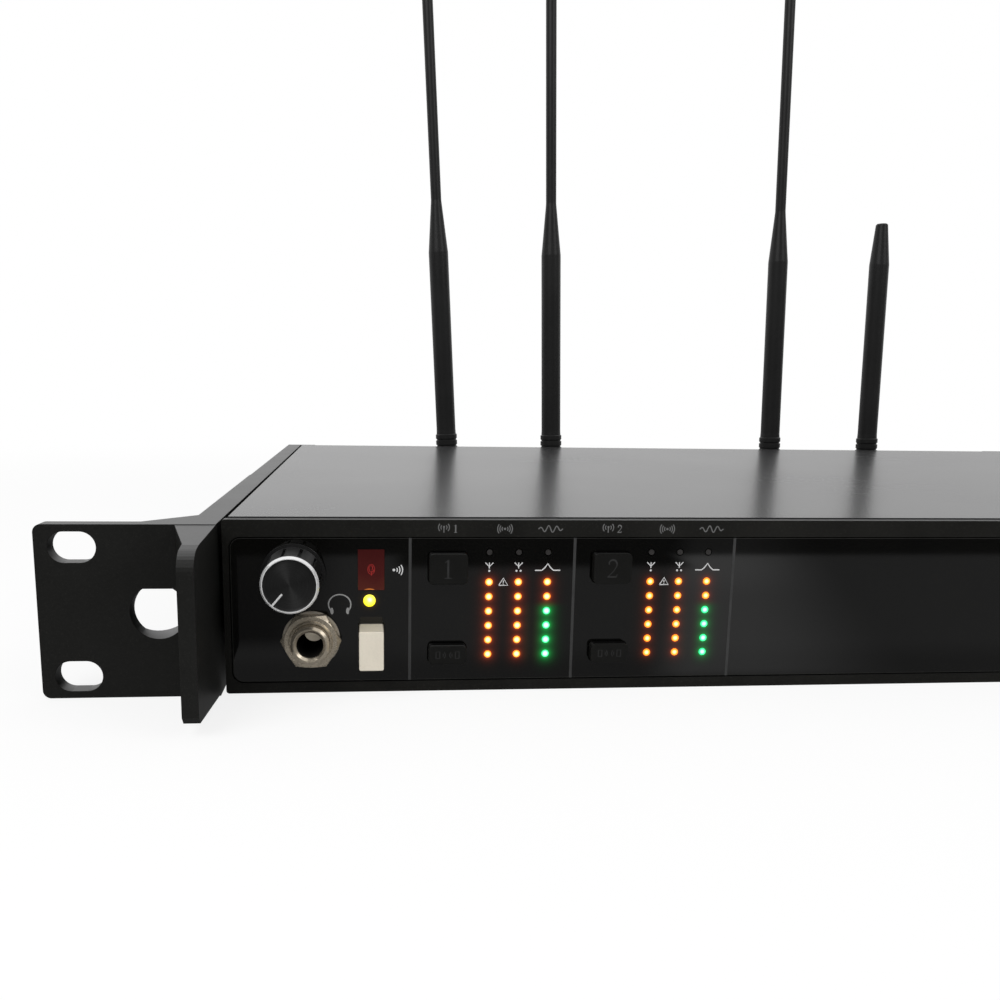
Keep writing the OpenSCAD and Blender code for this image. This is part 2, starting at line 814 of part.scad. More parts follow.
module power_button() {
    x = left(power_x);
    color([0.87, 0.84, 0.76]) {
        slab(lens_y - power_out, panel_back + 1) translate([x, power_z])
            rrect(power_w, power_h, 0.5);
        rod_y(x, power_z, 1.6, panel_back, front_board_y + 4);
    }
}

module power_switch() {
    x = left(power_x);
    y0 = panel_back + 1 + power_travel + 0.3;
    color([0.25, 0.25, 0.27]) difference() {
        block(x - power_switch_w / 2, x + power_switch_w / 2, y0, y0 + 14,
            power_z - power_switch_w / 2, power_z + power_switch_w / 2);
        rod_y(x, power_z, 1.6 + fit, y0 - 1, front_board_y + 4 + power_travel + 0.3);
    }
}

module key(x, z, w, h, r) {
    slab(lens_y - key_out, panel_back + 0.3) translate([x, z]) rrect(w, h, r);
    // flange that keeps the key in its window
    slab(panel_back + 0.3, panel_back + 1.2) translate([x, z])
        rrect(w + 1.4, h + 1.4, r);
    rod_y(x, z, 1.2, panel_back + 1, key_stop_y());
}

function key_stop_y() = 5.2;

module key_switch(x, z) {
    tip = key_stop_y() + key_travel + 0.1;
    rod_y(x, z, 1.5, tip, tip + 1);
    block(x - 3, x + 3, tip + 0.8, front_board_y, z - 3, z + 3);
}

module channel_button_1() {
    color([0.07, 0.07, 0.075]) key(bays[0] + key_dx, key_z, key_w, key_h, key_r);
}

module channel_button_2() {
    color([0.07, 0.07, 0.075]) key(bays[1] + key_dx, key_z, key_w, key_h, key_r);
}

module sync_button_1() {
    color([0.07, 0.07, 0.075])
        key(bays[0] + key_dx, small_key_z, small_key_w, small_key_h, small_key_r);
}

module sync_button_2() {
    color([0.07, 0.07, 0.075])
        key(bays[1] + key_dx, small_key_z, small_key_w, small_key_h, small_key_r);
}

module menu_key_1() {
    color([0.07, 0.07, 0.075])
        key(menu_key_x[0], small_key_z, small_key_w, small_key_h, small_key_r);
}

module menu_key_2() {
    color([0.07, 0.07, 0.075])
        key(menu_key_x[1], small_key_z, small_key_w, small_key_h, small_key_r);
}

module key_switches() {
    color([0.4, 0.4, 0.42]) {
        for (bx = bays, z = [key_z, small_key_z]) key_switch(bx + key_dx, z);
        for (x = menu_key_x) key_switch(x, small_key_z);
    }
}

module lamp(r) {
    // a lamp from its board to just proud of the lens
    slab(lens_y - 0.1, front_board_y) circle(r, $fn = 24);
}

module led_set(cols, rows) {
    for (bx = bays, col = cols, row = rows)
        translate([bx + led_dx + col * led_col, 0, led_z - row * led_row])
            lamp(led_d / 2);
}

module meter_lamps_orange() {
    color([1, 0.45, 0.12]) {
        led_set([0, 1], [0:5]);
        led_set([2], [0, 1]);
    }
}

module meter_lamps_green() {
    color([0.1, 0.9, 0.3]) led_set([2], [2:5]);
}

module status_lamps() {
    color([0.35, 0.35, 0.35])
        for (bx = bays, col = [0:2])
            translate([bx + led_dx + col * led_col, 0, status_z]) lamp(led_d / 2 - 0.2);
}

module front_board() {
    switch_half = power_switch_w / 2 + 0.1;
    color([0.05, 0.22, 0.12]) difference() {
        block(-half_w + 6, half_w - 6, front_board_y, front_board_y + board_t,
            lens_z + 0.8, wall_top - 3);
        rod_y(left(knob_x), knob_z, 2, 0, 20);
        block(left(power_x) - switch_half, left(power_x) + switch_half, 0, 20,
            0, power_z + switch_half);
        block(-half_w, left(jack_x) + 8, 0, 20, 0, jack_z + 8.4);
    }
}

module display_module() {
    z = lens_z + lens_h / 2;
    color([0.03, 0.04, 0.05]) {
        block(-display_w / 2, display_w / 2, panel_back, panel_back + 4,
            z - display_h / 2, z + display_h / 2);
        for (s = [-1, 1])
            block(s * (display_w / 2 - 6) - 3, s * (display_w / 2 - 6) + 3,
                panel_back + 3, front_board_y, z - 3, z + 3);
    }
}

// ---------- inside ----------
module main_board() {
    color([0.05, 0.25, 0.13]) {
        block(board_x0, board_x1, board_front, board_y1, board_z, board_top);
        // audio chips
        for (i = [0:4])
            block(board_x0 + (0.4 + 0.085 * i) * (board_x1 - board_x0),
                board_x0 + (0.44 + 0.085 * i) * (board_x1 - board_x0),
                board_front + 20, board_front + 32, board_top - eps, board_top + 2);
        // capacitors
        for (i = [0:5])
            translate([board_x0 + (0.4 + 0.07 * i) * (board_x1 - board_x0),
                board_front + 55, board_top - eps])
                cylinder(h = can_h - 6, r = 4);
    }
}

can_wall = 0.6;
can_x0 = [board_x0 + 34, board_x0 + 34 + can_w + can_gap];

module receiver_can(x0) {
    y1 = board_y1 - 35;
    difference() {
        block(x0, x0 + can_w, y1 - can_d, y1, board_top, board_top + can_h);
        block(x0 + can_wall, x0 + can_w - can_wall, y1 - can_d + can_wall,
            y1 - can_wall, board_top - 1, board_top + can_h - can_wall);
    }
}

module receiver_can_1() {
    color([0.75, 0.75, 0.77]) receiver_can(can_x0[0]);
}

module receiver_can_2() {
    color([0.75, 0.75, 0.77]) receiver_can(can_x0[1]);
}

module power_supply() {
    y1 = supply_front + supply_d;
    color([0.55, 0.50, 0.20]) {
        block(supply_x0, supply_x1, supply_front, y1, board_z, board_top);
        // feet
        for (x = [supply_x0 + 5, supply_x1 - 5], y = [supply_front + 6, y1 - 6])
            translate([x, y, sheet_t]) cylinder(h = board_z - sheet_t + eps, r = 2.5);
        // transformer
        block(supply_x0 + supply_w / 8, supply_x1 - supply_w / 8, y1 - 75, y1 - 40,
            board_top - eps, board_top + 24.5);
        // mains capacitor
        translate([supply_x0 + supply_w / 4, supply_front + supply_d / 4, board_top - eps])
            cylinder(h = can_h + 8, r = can_h / 2);
    }
}

// ---------- rear connectors ----------
module output_connectors() {
    color([0.6, 0.6, 0.62]) for (x = xlr_x) {
        difference() {
            union() {
                rod_y(x, ant_z, xlr_d / 2 + 2, body_d - xlr_depth - 1, body_d + eps);
                slab(body_d, body_d + 1.8) translate([x, ant_z]) rrect(xlr_w, xlr_h, 2);
            }
            rod_y(x, ant_z, xlr_d / 2, body_d - xlr_depth, body_d + 3);
        }
        for (a = [90, 210, 330])
            rod_y(x + 4 * cos(a), ant_z + 4 * sin(a), 1.2, body_d - xlr_depth - 0.5,
                body_d - xlr_depth + xlr_pin);
    }
}

module output_jack() {
    color([0.72, 0.69, 0.64]) {
        translate([out_jack_x, body_d + 5, ant_z]) mirror([0, 1, 0])
            jack_shell(5 + sheet_t);
        hex_nut_back(out_jack_x, ant_z, body_d, body_d + 2.6);
    }
}

module hex_nut_back(x, z, y0, y1) {
    difference() {
        translate([x, y1, z]) rotate([90, 0, 0])
            cylinder(h = y1 - y0, r = nut_af / sqrt(3), $fn = 6);
        rod_y(x, z, jack_thread / 2 - eps, y0 - 1, y1 + 1);
    }
}

module power_inlet() {
    color([0.06, 0.06, 0.065]) {
        difference() {
            union() {
                slab(body_d - inlet_depth - 4, body_d + eps) translate([inlet_x, ant_z])
                    rrect(inlet_w, inlet_h, 1.9);
                slab(body_d, body_d + 2.4) translate([inlet_x, ant_z])
                    rrect(inlet_w + 6.4, inlet_h + 5.4, 2);
            }
            slab(body_d - inlet_depth, body_d + 3) translate([inlet_x, ant_z])
                rrect(inlet_w - 3.6, inlet_h - 4, 2);
        }
        for (dx = [-7, 0, 7])
            block(inlet_x + dx - 1, inlet_x + dx + 1, body_d - inlet_depth - 1,
                body_d - inlet_depth + inlet_blade,
                ant_z - 2 - (dx == 0 ? -2 : 2), ant_z + 2 - (dx == 0 ? -2 : 2));
    }
}

// ---------- antennas ----------
module antenna_sockets() {
    color([0.70, 0.66, 0.60]) for (x = ant_x) {
        rod_y(x, ant_z, socket_d / 2, body_d - socket_in, body_d + socket_out);
        rod_y(x, ant_z, socket_d / 2 + 2.5, body_d, body_d + 1);
        hex_seat(x);
    }
}

module hex_seat(x) {
    translate([x, body_d + 3, ant_z]) rotate([90, 0, 0]) cylinder(h = 2, r = socket_hex_r, $fn = 6);
}

module lean(i) {
    translate([ant_x[i], 0, ant_z]) rotate([0, -ant_lean[i], 0])
        translate([-ant_x[i], 0, -ant_z]) children();
}

module elbow(i) {
    x = ant_x[i];
    pivot_z = ant_z + ant_pivot;
    ear_in = ant_tongue / 2 + 0.15;
    lean(i) color([0.06, 0.06, 0.065]) {
        difference() {
            union() {
                rod_y(x, ant_z, 7, body_d + 4, ant_axis_y - 4);
                rod_y(x, ant_z, 6, ant_axis_y - 4.5, ant_axis_y + 5.5);
                block(x - 5.5, x + 5.5, ant_axis_y - 5, ant_axis_y + 5, ant_z, pivot_z);
                translate([x - 5.5, ant_axis_y, pivot_z]) rotate([0, 90, 0])
                    cylinder(h = 11, r = 5);
            }
            rod_y(x, ant_z, socket_d / 2 + fit, body_d, body_d + socket_out + 0.3);
            // gap of the fork
            block(x - ear_in, x + ear_in, ant_axis_y - 8, ant_axis_y + 8,
                pivot_z - 5.2, pivot_z + 8);
        }
        // pivot pin
        translate([x - 5.5, ant_axis_y, pivot_z]) rotate([0, 90, 0])
            cylinder(h = 11, r = 1.5);
    }
}

module whip(i, len) {
    x = ant_x[i];
    pivot_z = ant_z + ant_pivot;
    sleeve_z = 5.9;
    lean(i) color([0.06, 0.06, 0.065]) translate([x, ant_axis_y, pivot_z]) {
        difference() {
            union() {
                translate([-ant_tongue / 2, 0, 0]) rotate([0, 90, 0])
                    cylinder(h = ant_tongue, r = 4.8);
                translate([-ant_tongue / 2, -4.8, 0])
                    cube([ant_tongue, 9.6, sleeve_z + 1]);
            }
            translate([-9, 0, 0]) rotate([0, 90, 0]) cylinder(h = 18, r = 1.5 + fit);
        }
        rotate_extrude() whip_outline(len, sleeve_z);
    }
}

module whip_outline(len, z0) {
    rs = ant_sleeve_d / 2;
    rb = ant_blade_d / 2;
    rw = ant_whip_d / 2;
    z_sleeve = z0 + 13.5;
    ribs = [for (i = [0:3]) each [[rs, z0 + 1 + 3.2 * i], [rs, z0 + 3 + 3.2 * i],
        [rs - 0.5, z0 + 3.4 + 3.2 * i], [rs - 0.5, z0 + 3.8 + 3.2 * i]]];
    taper_end = ant_taper_z + ant_taper_len;
    r_cut = rb + (rw - rb) * (len - ant_taper_z) / ant_taper_len;
    tip = len > taper_end ? [[rw, taper_end], [rw, len - 1], [rw - 1, len], [0, len]]
        : [[r_cut, len - 0.6], [r_cut - 0.6, len], [0, len]];
    polygon(concat([[0, z0], [rs - 0.6, z0]], ribs, [[rb, z_sleeve + 2],
        [rb, ant_taper_z]], tip));
}

module antenna_elbow_1() {
    elbow(0);
}

module antenna_elbow_2() {
    elbow(1);
}

module antenna_elbow_3() {
    elbow(2);
}

module antenna_elbow_4() {
    elbow(3);
}

module antenna_whip_1() {
    whip(0, ant_len);
}

module antenna_whip_2() {
    whip(1, ant_len);
}

module antenna_whip_3() {
    whip(2, ant_len);
}

module antenna_whip_4() {
    whip(3, ant_short_len);
}

chassis_base();
top_cover();
rear_panel();
front_frame();
front_lens();
divider_lines();
rack_bracket_left();
rack_bracket_right();
side_rail_left();
side_rail_right();
bracket_screws();
rear_screws();
volume_knob();
volume_knob_ring();
volume_shaft();
volume_pot();
headphone_jack();
jack_washer();
jack_nut();
ir_window();
ir_led();
power_lamp();
power_button();
power_switch();
channel_button_1();
channel_button_2();
sync_button_1();
sync_button_2();
menu_key_1();
menu_key_2();
key_switches();
meter_lamps_orange();
meter_lamps_green();
status_lamps();
front_board();
display_module();
menu_knob();
menu_knob_ring();
menu_shaft();
menu_encoder();
main_board();
receiver_can_1();
receiver_can_2();
power_supply();
output_connectors();
output_jack();
power_inlet();
antenna_sockets();
antenna_elbow_1();
antenna_elbow_2();
antenna_elbow_3();
antenna_elbow_4();
antenna_whip_1();
antenna_whip_2();
antenna_whip_3();
antenna_whip_4();
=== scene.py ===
# Wireless receiver unit: looks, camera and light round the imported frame.
import math

import bmesh
import bpy
from mathutils import Matrix, Vector


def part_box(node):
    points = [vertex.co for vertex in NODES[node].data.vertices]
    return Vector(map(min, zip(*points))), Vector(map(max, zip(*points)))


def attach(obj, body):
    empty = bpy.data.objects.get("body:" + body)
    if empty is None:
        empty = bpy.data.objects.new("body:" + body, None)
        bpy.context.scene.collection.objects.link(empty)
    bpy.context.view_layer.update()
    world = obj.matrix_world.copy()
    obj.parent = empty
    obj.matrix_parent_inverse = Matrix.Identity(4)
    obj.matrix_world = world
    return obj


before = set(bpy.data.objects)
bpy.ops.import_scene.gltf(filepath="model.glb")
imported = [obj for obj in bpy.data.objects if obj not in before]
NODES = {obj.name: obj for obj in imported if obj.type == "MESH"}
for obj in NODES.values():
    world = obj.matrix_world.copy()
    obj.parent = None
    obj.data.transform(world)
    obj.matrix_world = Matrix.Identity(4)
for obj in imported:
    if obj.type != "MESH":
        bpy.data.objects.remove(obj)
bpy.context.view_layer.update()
MM = 0.001
MM_PER_M = 1000.0

# ---------- places that the CAD source names, in millimetres ----------
HALF_W = 196.7
# front planes of the panel and of the frame
LENS_Y, FRAME_Y = -2.6, -2.8
# left edges of the two receiver bays; what ends in _DX is counted from there
BAY_PITCH = 41.35
BAYS = (-HALF_W + 44.4, -HALF_W + 44.4 + BAY_PITCH)
KEY_DX, KEY_Z, SMALL_KEY_Z = 9.4, 31.85, 9.95
# meter lamps: first column, pitch of columns and of rows, top row
LED_DX, LED_COL, LED_ROW, LED_Z = 19.8, 7.4, 3.733, 28.1
LED_COLUMNS, LED_ROWS = 3, 6
# power button, power lamp, red window, headphone jack, and the two audio outputs behind
POWER_X = -HALF_W + 34.8
LAMP_X, LAMP_Z = -HALF_W + 34.35, 23.5
IR_BOTTOM, IR_TOP, IR_Z = 26.2, 36.4, 31.3
JACK_X, JACK_Z, BORE_R = -HALF_W + 19.95, 13.9, 3.32
OUTPUT_PITCH = 28.0


# ---------- node helpers ----------
def tree(name):
    """A new material and its node tree, still empty."""
    m = bpy.data.materials.new(name)
    m.use_nodes = True
    m.node_tree.nodes.clear()
    return m, m.node_tree


def put(nt, kind, ins=None, **props):
    """A new node: its own settings first, then its inputs, as links or as values."""
    n = nt.nodes.new(kind)
    for key, value in props.items():
        setattr(n, key, value)
    for key, value in (ins or {}).items():
        if isinstance(value, bpy.types.NodeSocket):
            nt.links.new(value, n.inputs[key])
        else:
            n.inputs[key].default_value = value
    return n


def calc(nt, op, a, b=0.0, c=0.0, clamp=False):
    """One step of arithmetic on sockets or numbers."""
    return put(nt, "ShaderNodeMath", {0: a, 1: b, 2: c}, operation=op, use_clamp=clamp).outputs[0]


def vector(nt, op, a, b=(0.0, 0.0, 0.0)):
    """A vector calculation; LENGTH gives a number, the others a vector."""
    n = put(nt, "ShaderNodeVectorMath", {0: a, 1: b}, operation=op)
    return n.outputs["Value" if op == "LENGTH" else "Vector"]


def between(nt, share, low, high):
    """low where share is 0, high where it is 1."""
    return calc(nt, "MULTIPLY_ADD", share, calc(nt, "SUBTRACT", high, low), low)


def dimmed(nt, value, where, share):
    """The value less this share of it where the mask is 1."""
    return calc(nt, "MULTIPLY", value, calc(nt, "MULTIPLY_ADD", where, -share, 1.0))


def limited(nt, value, top):
    """The value kept between 0 and top."""
    return calc(nt, "MINIMUM", calc(nt, "MAXIMUM", value, 0.0), top)


def falling(nt, distance, rate):
    """1 at no distance, falling off by this rate."""
    return calc(nt, "EXPONENT", calc(nt, "MULTIPLY", distance, -rate))


def mapped(nt, value, low, high, start=0.0, end=1.0):
    """From low at start to high at end in a straight line, level outside."""
    return put(nt, "ShaderNodeMapRange", {"Value": value, "From Min": start, "From Max": end,
        "To Min": low, "To Max": high}).outputs[0]


def smooth(nt, value, start, end, low=0.0, high=1.0):
    """From low at start to high at end, with soft ends; start may be above end."""
    return put(nt, "ShaderNodeMapRange", {"Value": value, "From Min": start, "From Max": end,
        "To Min": low, "To Max": high}, interpolation_type="SMOOTHSTEP").outputs[0]


def ramp(nt, fac, stops):
    """Colours by place on a scale from 0 to 1."""
    n = put(nt, "ShaderNodeValToRGB", {"Fac": fac})
    elements = n.color_ramp.elements
    while len(elements) < len(stops):
        elements.new(0.5)
    for element, (place, colour) in zip(elements, stops):
        element.position = place
        element.color = (*colour, 1)
    return n.outputs["Color"]


def grey(v):
    return (v, v, v)


def blend(nt, share, first, second):
    """Colours mixed by share; 0, 6 and 7 are the Mix node's factor and colour inputs."""
    return put(nt, "ShaderNodeMix", {0: share, 6: first, 7: second}, data_type="RGBA").outputs[2]


def noise(nt, co, scale, detail=2.0, rough=0.5):
    return put(nt, "ShaderNodeTexNoise",
        {"Vector": co, "Scale": scale, "Detail": detail, "Roughness": rough}).outputs["Fac"]


def coords(nt):
    """The place in the object's own frame, in metres."""
    return put(nt, "ShaderNodeTexCoord").outputs["Object"]


def axes(nt, co):
    return put(nt, "ShaderNodeSeparateXYZ", {"Vector": co}).outputs


def from_axis(nt, co, x=0.0, z=0.0):
    """Distance, in metres, from a line along Y through x and z, given in mm."""
    offset = vector(nt, "SUBTRACT", co, (x * MM, 0.0, z * MM))
    return vector(nt, "LENGTH", vector(nt, "MULTIPLY", offset, (1.0, 0.0, 1.0)))


def bumps(nt, strength, height_mm, height):
    return put(nt, "ShaderNodeBump",
        {"Strength": strength, "Distance": height_mm * MM, "Height": height}).outputs[0]


def surface(nt, ins):
    """The tree's Principled shader with these inputs, joined to the output."""
    shader = put(nt, "ShaderNodeBsdfPrincipled", ins)
    put(nt, "ShaderNodeOutputMaterial", {"Surface": shader.outputs[0]})


# ---------- materials ----------
# how far grain and patches mix a paint's two tones
FINE_SHARE, PATCH_SHARE = 0.45, 0.55
FLAKE_SCALE, FLAKE_RARITY, FLAKE_COLOUR = 6500.0, 0.94, (0.30, 0.29, 0.26, 1)
# upper faces can get a painted sheen; a face counts as an upper one by how far its normal points up
UP_FROM, UP_TO = 0.55, 0.95


def paint(name, dark, light, rough, grain=1800, bump=0.02, spread=0.05, level=0.5,
          metal=0.0, sparkle=0.0, patch=60, painted_sheen=0.0, tint=(1, 1, 1)):
    """Paint, plastic or plated metal: two close tones in patches, a fine grain in
    height, a roughness that wanders, and, if asked, a metal flake or a painted
    sheen that makes upper faces lighter and metallic."""
    m, nt = tree(name)
    co = coords(nt)
    large = noise(nt, co, patch, 3.0)
    fine = noise(nt, co, grain, 2.0, 0.6)
    mixed = calc(nt, "MULTIPLY_ADD", fine, FINE_SHARE, calc(nt, "MULTIPLY", large, PATCH_SHARE))
    colour = ramp(nt, mixed, [(0.3, [dark * t for t in tint]), (0.7, [light * t for t in tint])])
    if sparkle:
        cells = put(nt, "ShaderNodeTexVoronoi", {"Vector": co, "Scale": FLAKE_SCALE})
        chance = put(nt, "ShaderNodeSeparateColor", {"Color": cells.outputs["Color"]}).outputs[0]
        flake = calc(nt, "GREATER_THAN", chance, FLAKE_RARITY)
        colour = blend(nt, calc(nt, "MULTIPLY", flake, sparkle), colour, FLAKE_COLOUR)
    # painted sheen: faces that point up are made lighter and metallic, so that they shine
    if painted_sheen:
        normal = put(nt, "ShaderNodeTexCoord").outputs["Normal"]
        metal = smooth(nt, axes(nt, normal)["Z"], UP_FROM, UP_TO)
        colour = blend(nt, metal, colour, (*grey(painted_sheen), 1))
    surface(nt, {"Base Color": colour, "Metallic": metal, "Specular IOR Level": level,
        "Roughness": mapped(nt, mixed, rough - spread, rough + spread),
        "Normal": bumps(nt, 0.5, bump, fine)})
    return m


# between the two bays' lamps, in mm right of the first column
BAY_SPLIT = 28.0
# where the meters turn from orange to green, in columns from the left and rows from the top
GREEN_COLUMN, GREEN_ROW = (1.1, 1.85), (1.2, 1.8)


def led_field(nt, co):
    """Distances in mm from the two nearest lamps of a meter column, above and below,
    how far the place is in the meters' green part, 0 to 1, and 1 in the second bay."""
    place = axes(nt, co)
    x = calc(nt, "MULTIPLY_ADD", place["X"], MM_PER_M, -(BAYS[0] + LED_DX))
    second = calc(nt, "GREATER_THAN", x, BAY_SPLIT)
    x = calc(nt, "MULTIPLY_ADD", second, -BAY_PITCH, x)
    down = calc(nt, "MULTIPLY_ADD", place["Z"], -MM_PER_M, LED_Z)
    column = calc(nt, "DIVIDE", x, LED_COL)
    row = calc(nt, "DIVIDE", down, LED_ROW)
    nearest = limited(nt, calc(nt, "ROUND", column), LED_COLUMNS - 1)
    upper = limited(nt, calc(nt, "FLOOR", row), LED_ROWS - 2)
    dx = calc(nt, "MULTIPLY", calc(nt, "SUBTRACT", column, nearest), LED_COL)
    across = calc(nt, "MULTIPLY", dx, dx)
    distances = []
    for lamp_row in (upper, calc(nt, "ADD", upper, 1.0)):
        dz = calc(nt, "MULTIPLY", calc(nt, "SUBTRACT", row, lamp_row), LED_ROW)
        distances.append(calc(nt, "SQRT", calc(nt, "MULTIPLY_ADD", dz, dz, across)))
    green = calc(nt, "MULTIPLY", smooth(nt, column, *GREEN_COLUMN), smooth(nt, row, *GREEN_ROW))
    return *distances, green, second


def lens_material():
    """Glossy black acrylic with a painted glow round the lamps, standing for their light spreading a little
    inside it.
    """
    bloom_rate, haze_rate, ring_rate = 2.1, 1.35, 2600.0
    bloom_light, green_haze, orange_haze, ring_light = 1.5, 0.62, 0.42, 2.2
    second_bay_loss, ring_edge = 0.45, 0.0005
    deep_orange, orange = (1.0, 0.10, 0.022, 1), (1.0, 0.22, 0.03, 1)
    meter_green, lamp_yellow = (0.01, 0.78, 0.12, 1), (1.0, 0.50, 0.01, 1)
    m, nt = tree("lens_acrylic")
    co = coords(nt)
    smear = noise(nt, co, 14.0, 4.0, 0.6)
    d1, d2, green, second = led_field(nt, co)
    d = calc(nt, "MINIMUM", d1, d2)
    bloom = falling(nt, calc(nt, "MULTIPLY", d, d), bloom_rate)
    haze = calc(nt, "ADD", falling(nt, d1, haze_rate), falling(nt, d2, haze_rate))
    haze = calc(nt, "MULTIPLY", haze, calc(nt, "MULTIPLY_ADD", green, green_haze, orange_haze))
    glow = dimmed(nt, calc(nt, "MULTIPLY_ADD", bloom, bloom_light, haze), second, second_bay_loss)
    amber = blend(nt, calc(nt, "MULTIPLY", bloom, 3.0, clamp=True), deep_orange, orange)
    tone = blend(nt, green, amber, meter_green)
    # a narrow brown ring of light round the power lamp
    lamp_place = (LAMP_X * MM, LENS_Y * MM, LAMP_Z * MM)
    ring = falling(nt, vector(nt, "LENGTH", vector(nt, "SUBTRACT", co, lamp_place)), ring_rate)
    tone = blend(nt, calc(nt, "GREATER_THAN", ring, ring_edge), tone, lamp_yellow)
    surface(nt, {
        "Base Color": ramp(nt, smear, [(0.35, (0.0006, 0.0006, 0.0005)), (0.75, (0.0022, 0.0021, 0.0017))]),
        "Roughness": mapped(nt, smear, 0.03, 0.06), "Specular IOR Level": 0.5,
        "Emission Color": tone, "Emission Strength": calc(nt, "MULTIPLY_ADD", ring, ring_light, glow),
        "Normal": bumps(nt, 0.08, 0.005, noise(nt, co, 900.0))})
    return m


def lit_lamp(name, core, mid, rim, strength):
    """Lit lamps of the meters: a hot core that falls to its own colour at the rim."""
    lamp_r, second_bay_shift, unevenness = 0.95, 0.13, 0.12
    m, nt = tree(name)
    co = coords(nt)
    d1, d2, _, second = led_field(nt, co)
    part = calc(nt, "DIVIDE", calc(nt, "MINIMUM", d1, d2), lamp_r)
    part = calc(nt, "MULTIPLY_ADD", noise(nt, co, 1500.0), unevenness, part)
    part = calc(nt, "MULTIPLY_ADD", second, second_bay_shift, part)
    surface(nt, {"Base Color": (*rim, 1), "Roughness": 0.3, "Emission Strength": strength,
        "Emission Color": ramp(nt, part, [(0.46, core), (0.72, mid), (0.98, rim)])})
    return m


def round_glow(name, core, mid, rim, x, z, radius, strength):
    """One lamp with its own centre, in mm: hot in the middle, darker at the rim."""
    unevenness = 0.1
    m, nt = tree(name)
    co = coords(nt)
    part = calc(nt, "DIVIDE", from_axis(nt, co, x, z), radius * MM)
    part = calc(nt, "MULTIPLY_ADD", noise(nt, co, 1500.0), unevenness, part)
    surface(nt, {"Base Color": (*rim, 1), "Roughness": 0.3, "Emission Strength": strength,
        "Emission Color": ramp(nt, part, [(0.12, core), (0.45, mid), (1.0, rim)])})
    return m


def filter_material():
    """Dark red filter: lighter and browner below, darker above, with a faint painted glow."""
    height_share, patch_share = 0.8, 0.35
    m, nt = tree("infrared_filter")
    co = coords(nt)
    height = mapped(nt, axes(nt, co)["Z"], 0.0, 1.0, IR_BOTTOM * MM, IR_TOP * MM)
    patches = calc(nt, "MULTIPLY", noise(nt, co, 260.0, 3.0), patch_share)
    mixed = calc(nt, "MULTIPLY_ADD", height, height_share, patches)
    colour = ramp(nt, mixed, [(0.1, (0.062, 0.0145, 0.0100)), (0.5, (0.043, 0.0070, 0.0064)),
        (0.95, (0.034, 0.0050, 0.0048))])
    surface(nt, {"Base Color": colour, "Roughness": 0.14, "Specular IOR Level": 0.08,
        "Emission Color": colour, "Emission Strength": 0.15})
    return m


def glimmer(name, scale, dark, light, strength, level):
    """A dim shape in a painted glow, in two close tones."""
    m, nt = tree(name)
    colour = ramp(nt, noise(nt, coords(nt), scale), [(0.3, dark), (0.7, light)])
    surface(nt, {"Base Color": colour, "Roughness": 0.3, "Specular IOR Level": level,
        "Emission Color": colour, "Emission Strength": strength})
    return m


def turned_face():
    """Black face turned on a lathe: its fine rings stretch the light into soft fans."""
    rings_per_metre = 9000.0
    m, nt = tree("knob_face_turned")
    r = from_axis(nt, coords(nt))
    rings = put(nt, "ShaderNodeTexNoise", {"W": calc(nt, "MULTIPLY", r, rings_per_metre), "Scale": 1.0,
        "Detail": 2.0}, noise_dimensions="1D").outputs["Fac"]
    surface(nt, {
        "Base Color": ramp(nt, rings, [(0.3, grey(0.038)), (0.7, grey(0.066))]), "Metallic": 0.9,
        "Roughness": mapped(nt, rings, 0.30, 0.38), "Anisotropic": 0.85, "Anisotropic Rotation": 0.25,
        "Tangent": put(nt, "ShaderNodeTangent", direction_type="RADIAL", axis="Y").outputs[0],
        "Normal": bumps(nt, 0.25, 0.01, rings)})
    return m


def jack_material():
    """Nickel plate outside; inside the bore the jack's dark plastic."""
    plate_metal, lining_depth, lining_roughness = 0.85, 5.8, 0.3
    m, nt = tree("jack_plate_and_bore")
    co = coords(nt)
    near_axis = calc(nt, "LESS_THAN", from_axis(nt, co, JACK_X, JACK_Z), BORE_R * MM)
    deep = calc(nt, "GREATER_THAN", axes(nt, co)["Y"], (LENS_Y - lining_depth) * MM)
    inside = calc(nt, "MULTIPLY", near_axis, deep)
    large = noise(nt, co, 240.0, 3.0)
    plate = ramp(nt, large, [(0.3, (0.40, 0.35, 0.275)), (0.7, (0.66, 0.58, 0.46))])
    surface(nt, {"Base Color": blend(nt, inside, plate, (0.012, 0.011, 0.010, 1)),
        "Metallic": between(nt, inside, plate_metal, 0.0), "Specular IOR Level": 0.3,
        "Roughness": calc(nt, "MULTIPLY_ADD", inside, lining_roughness, mapped(nt, large, 0.20, 0.30)),
        "Normal": bumps(nt, 0.4, 0.004, noise(nt, co, 2200.0))})
    return m


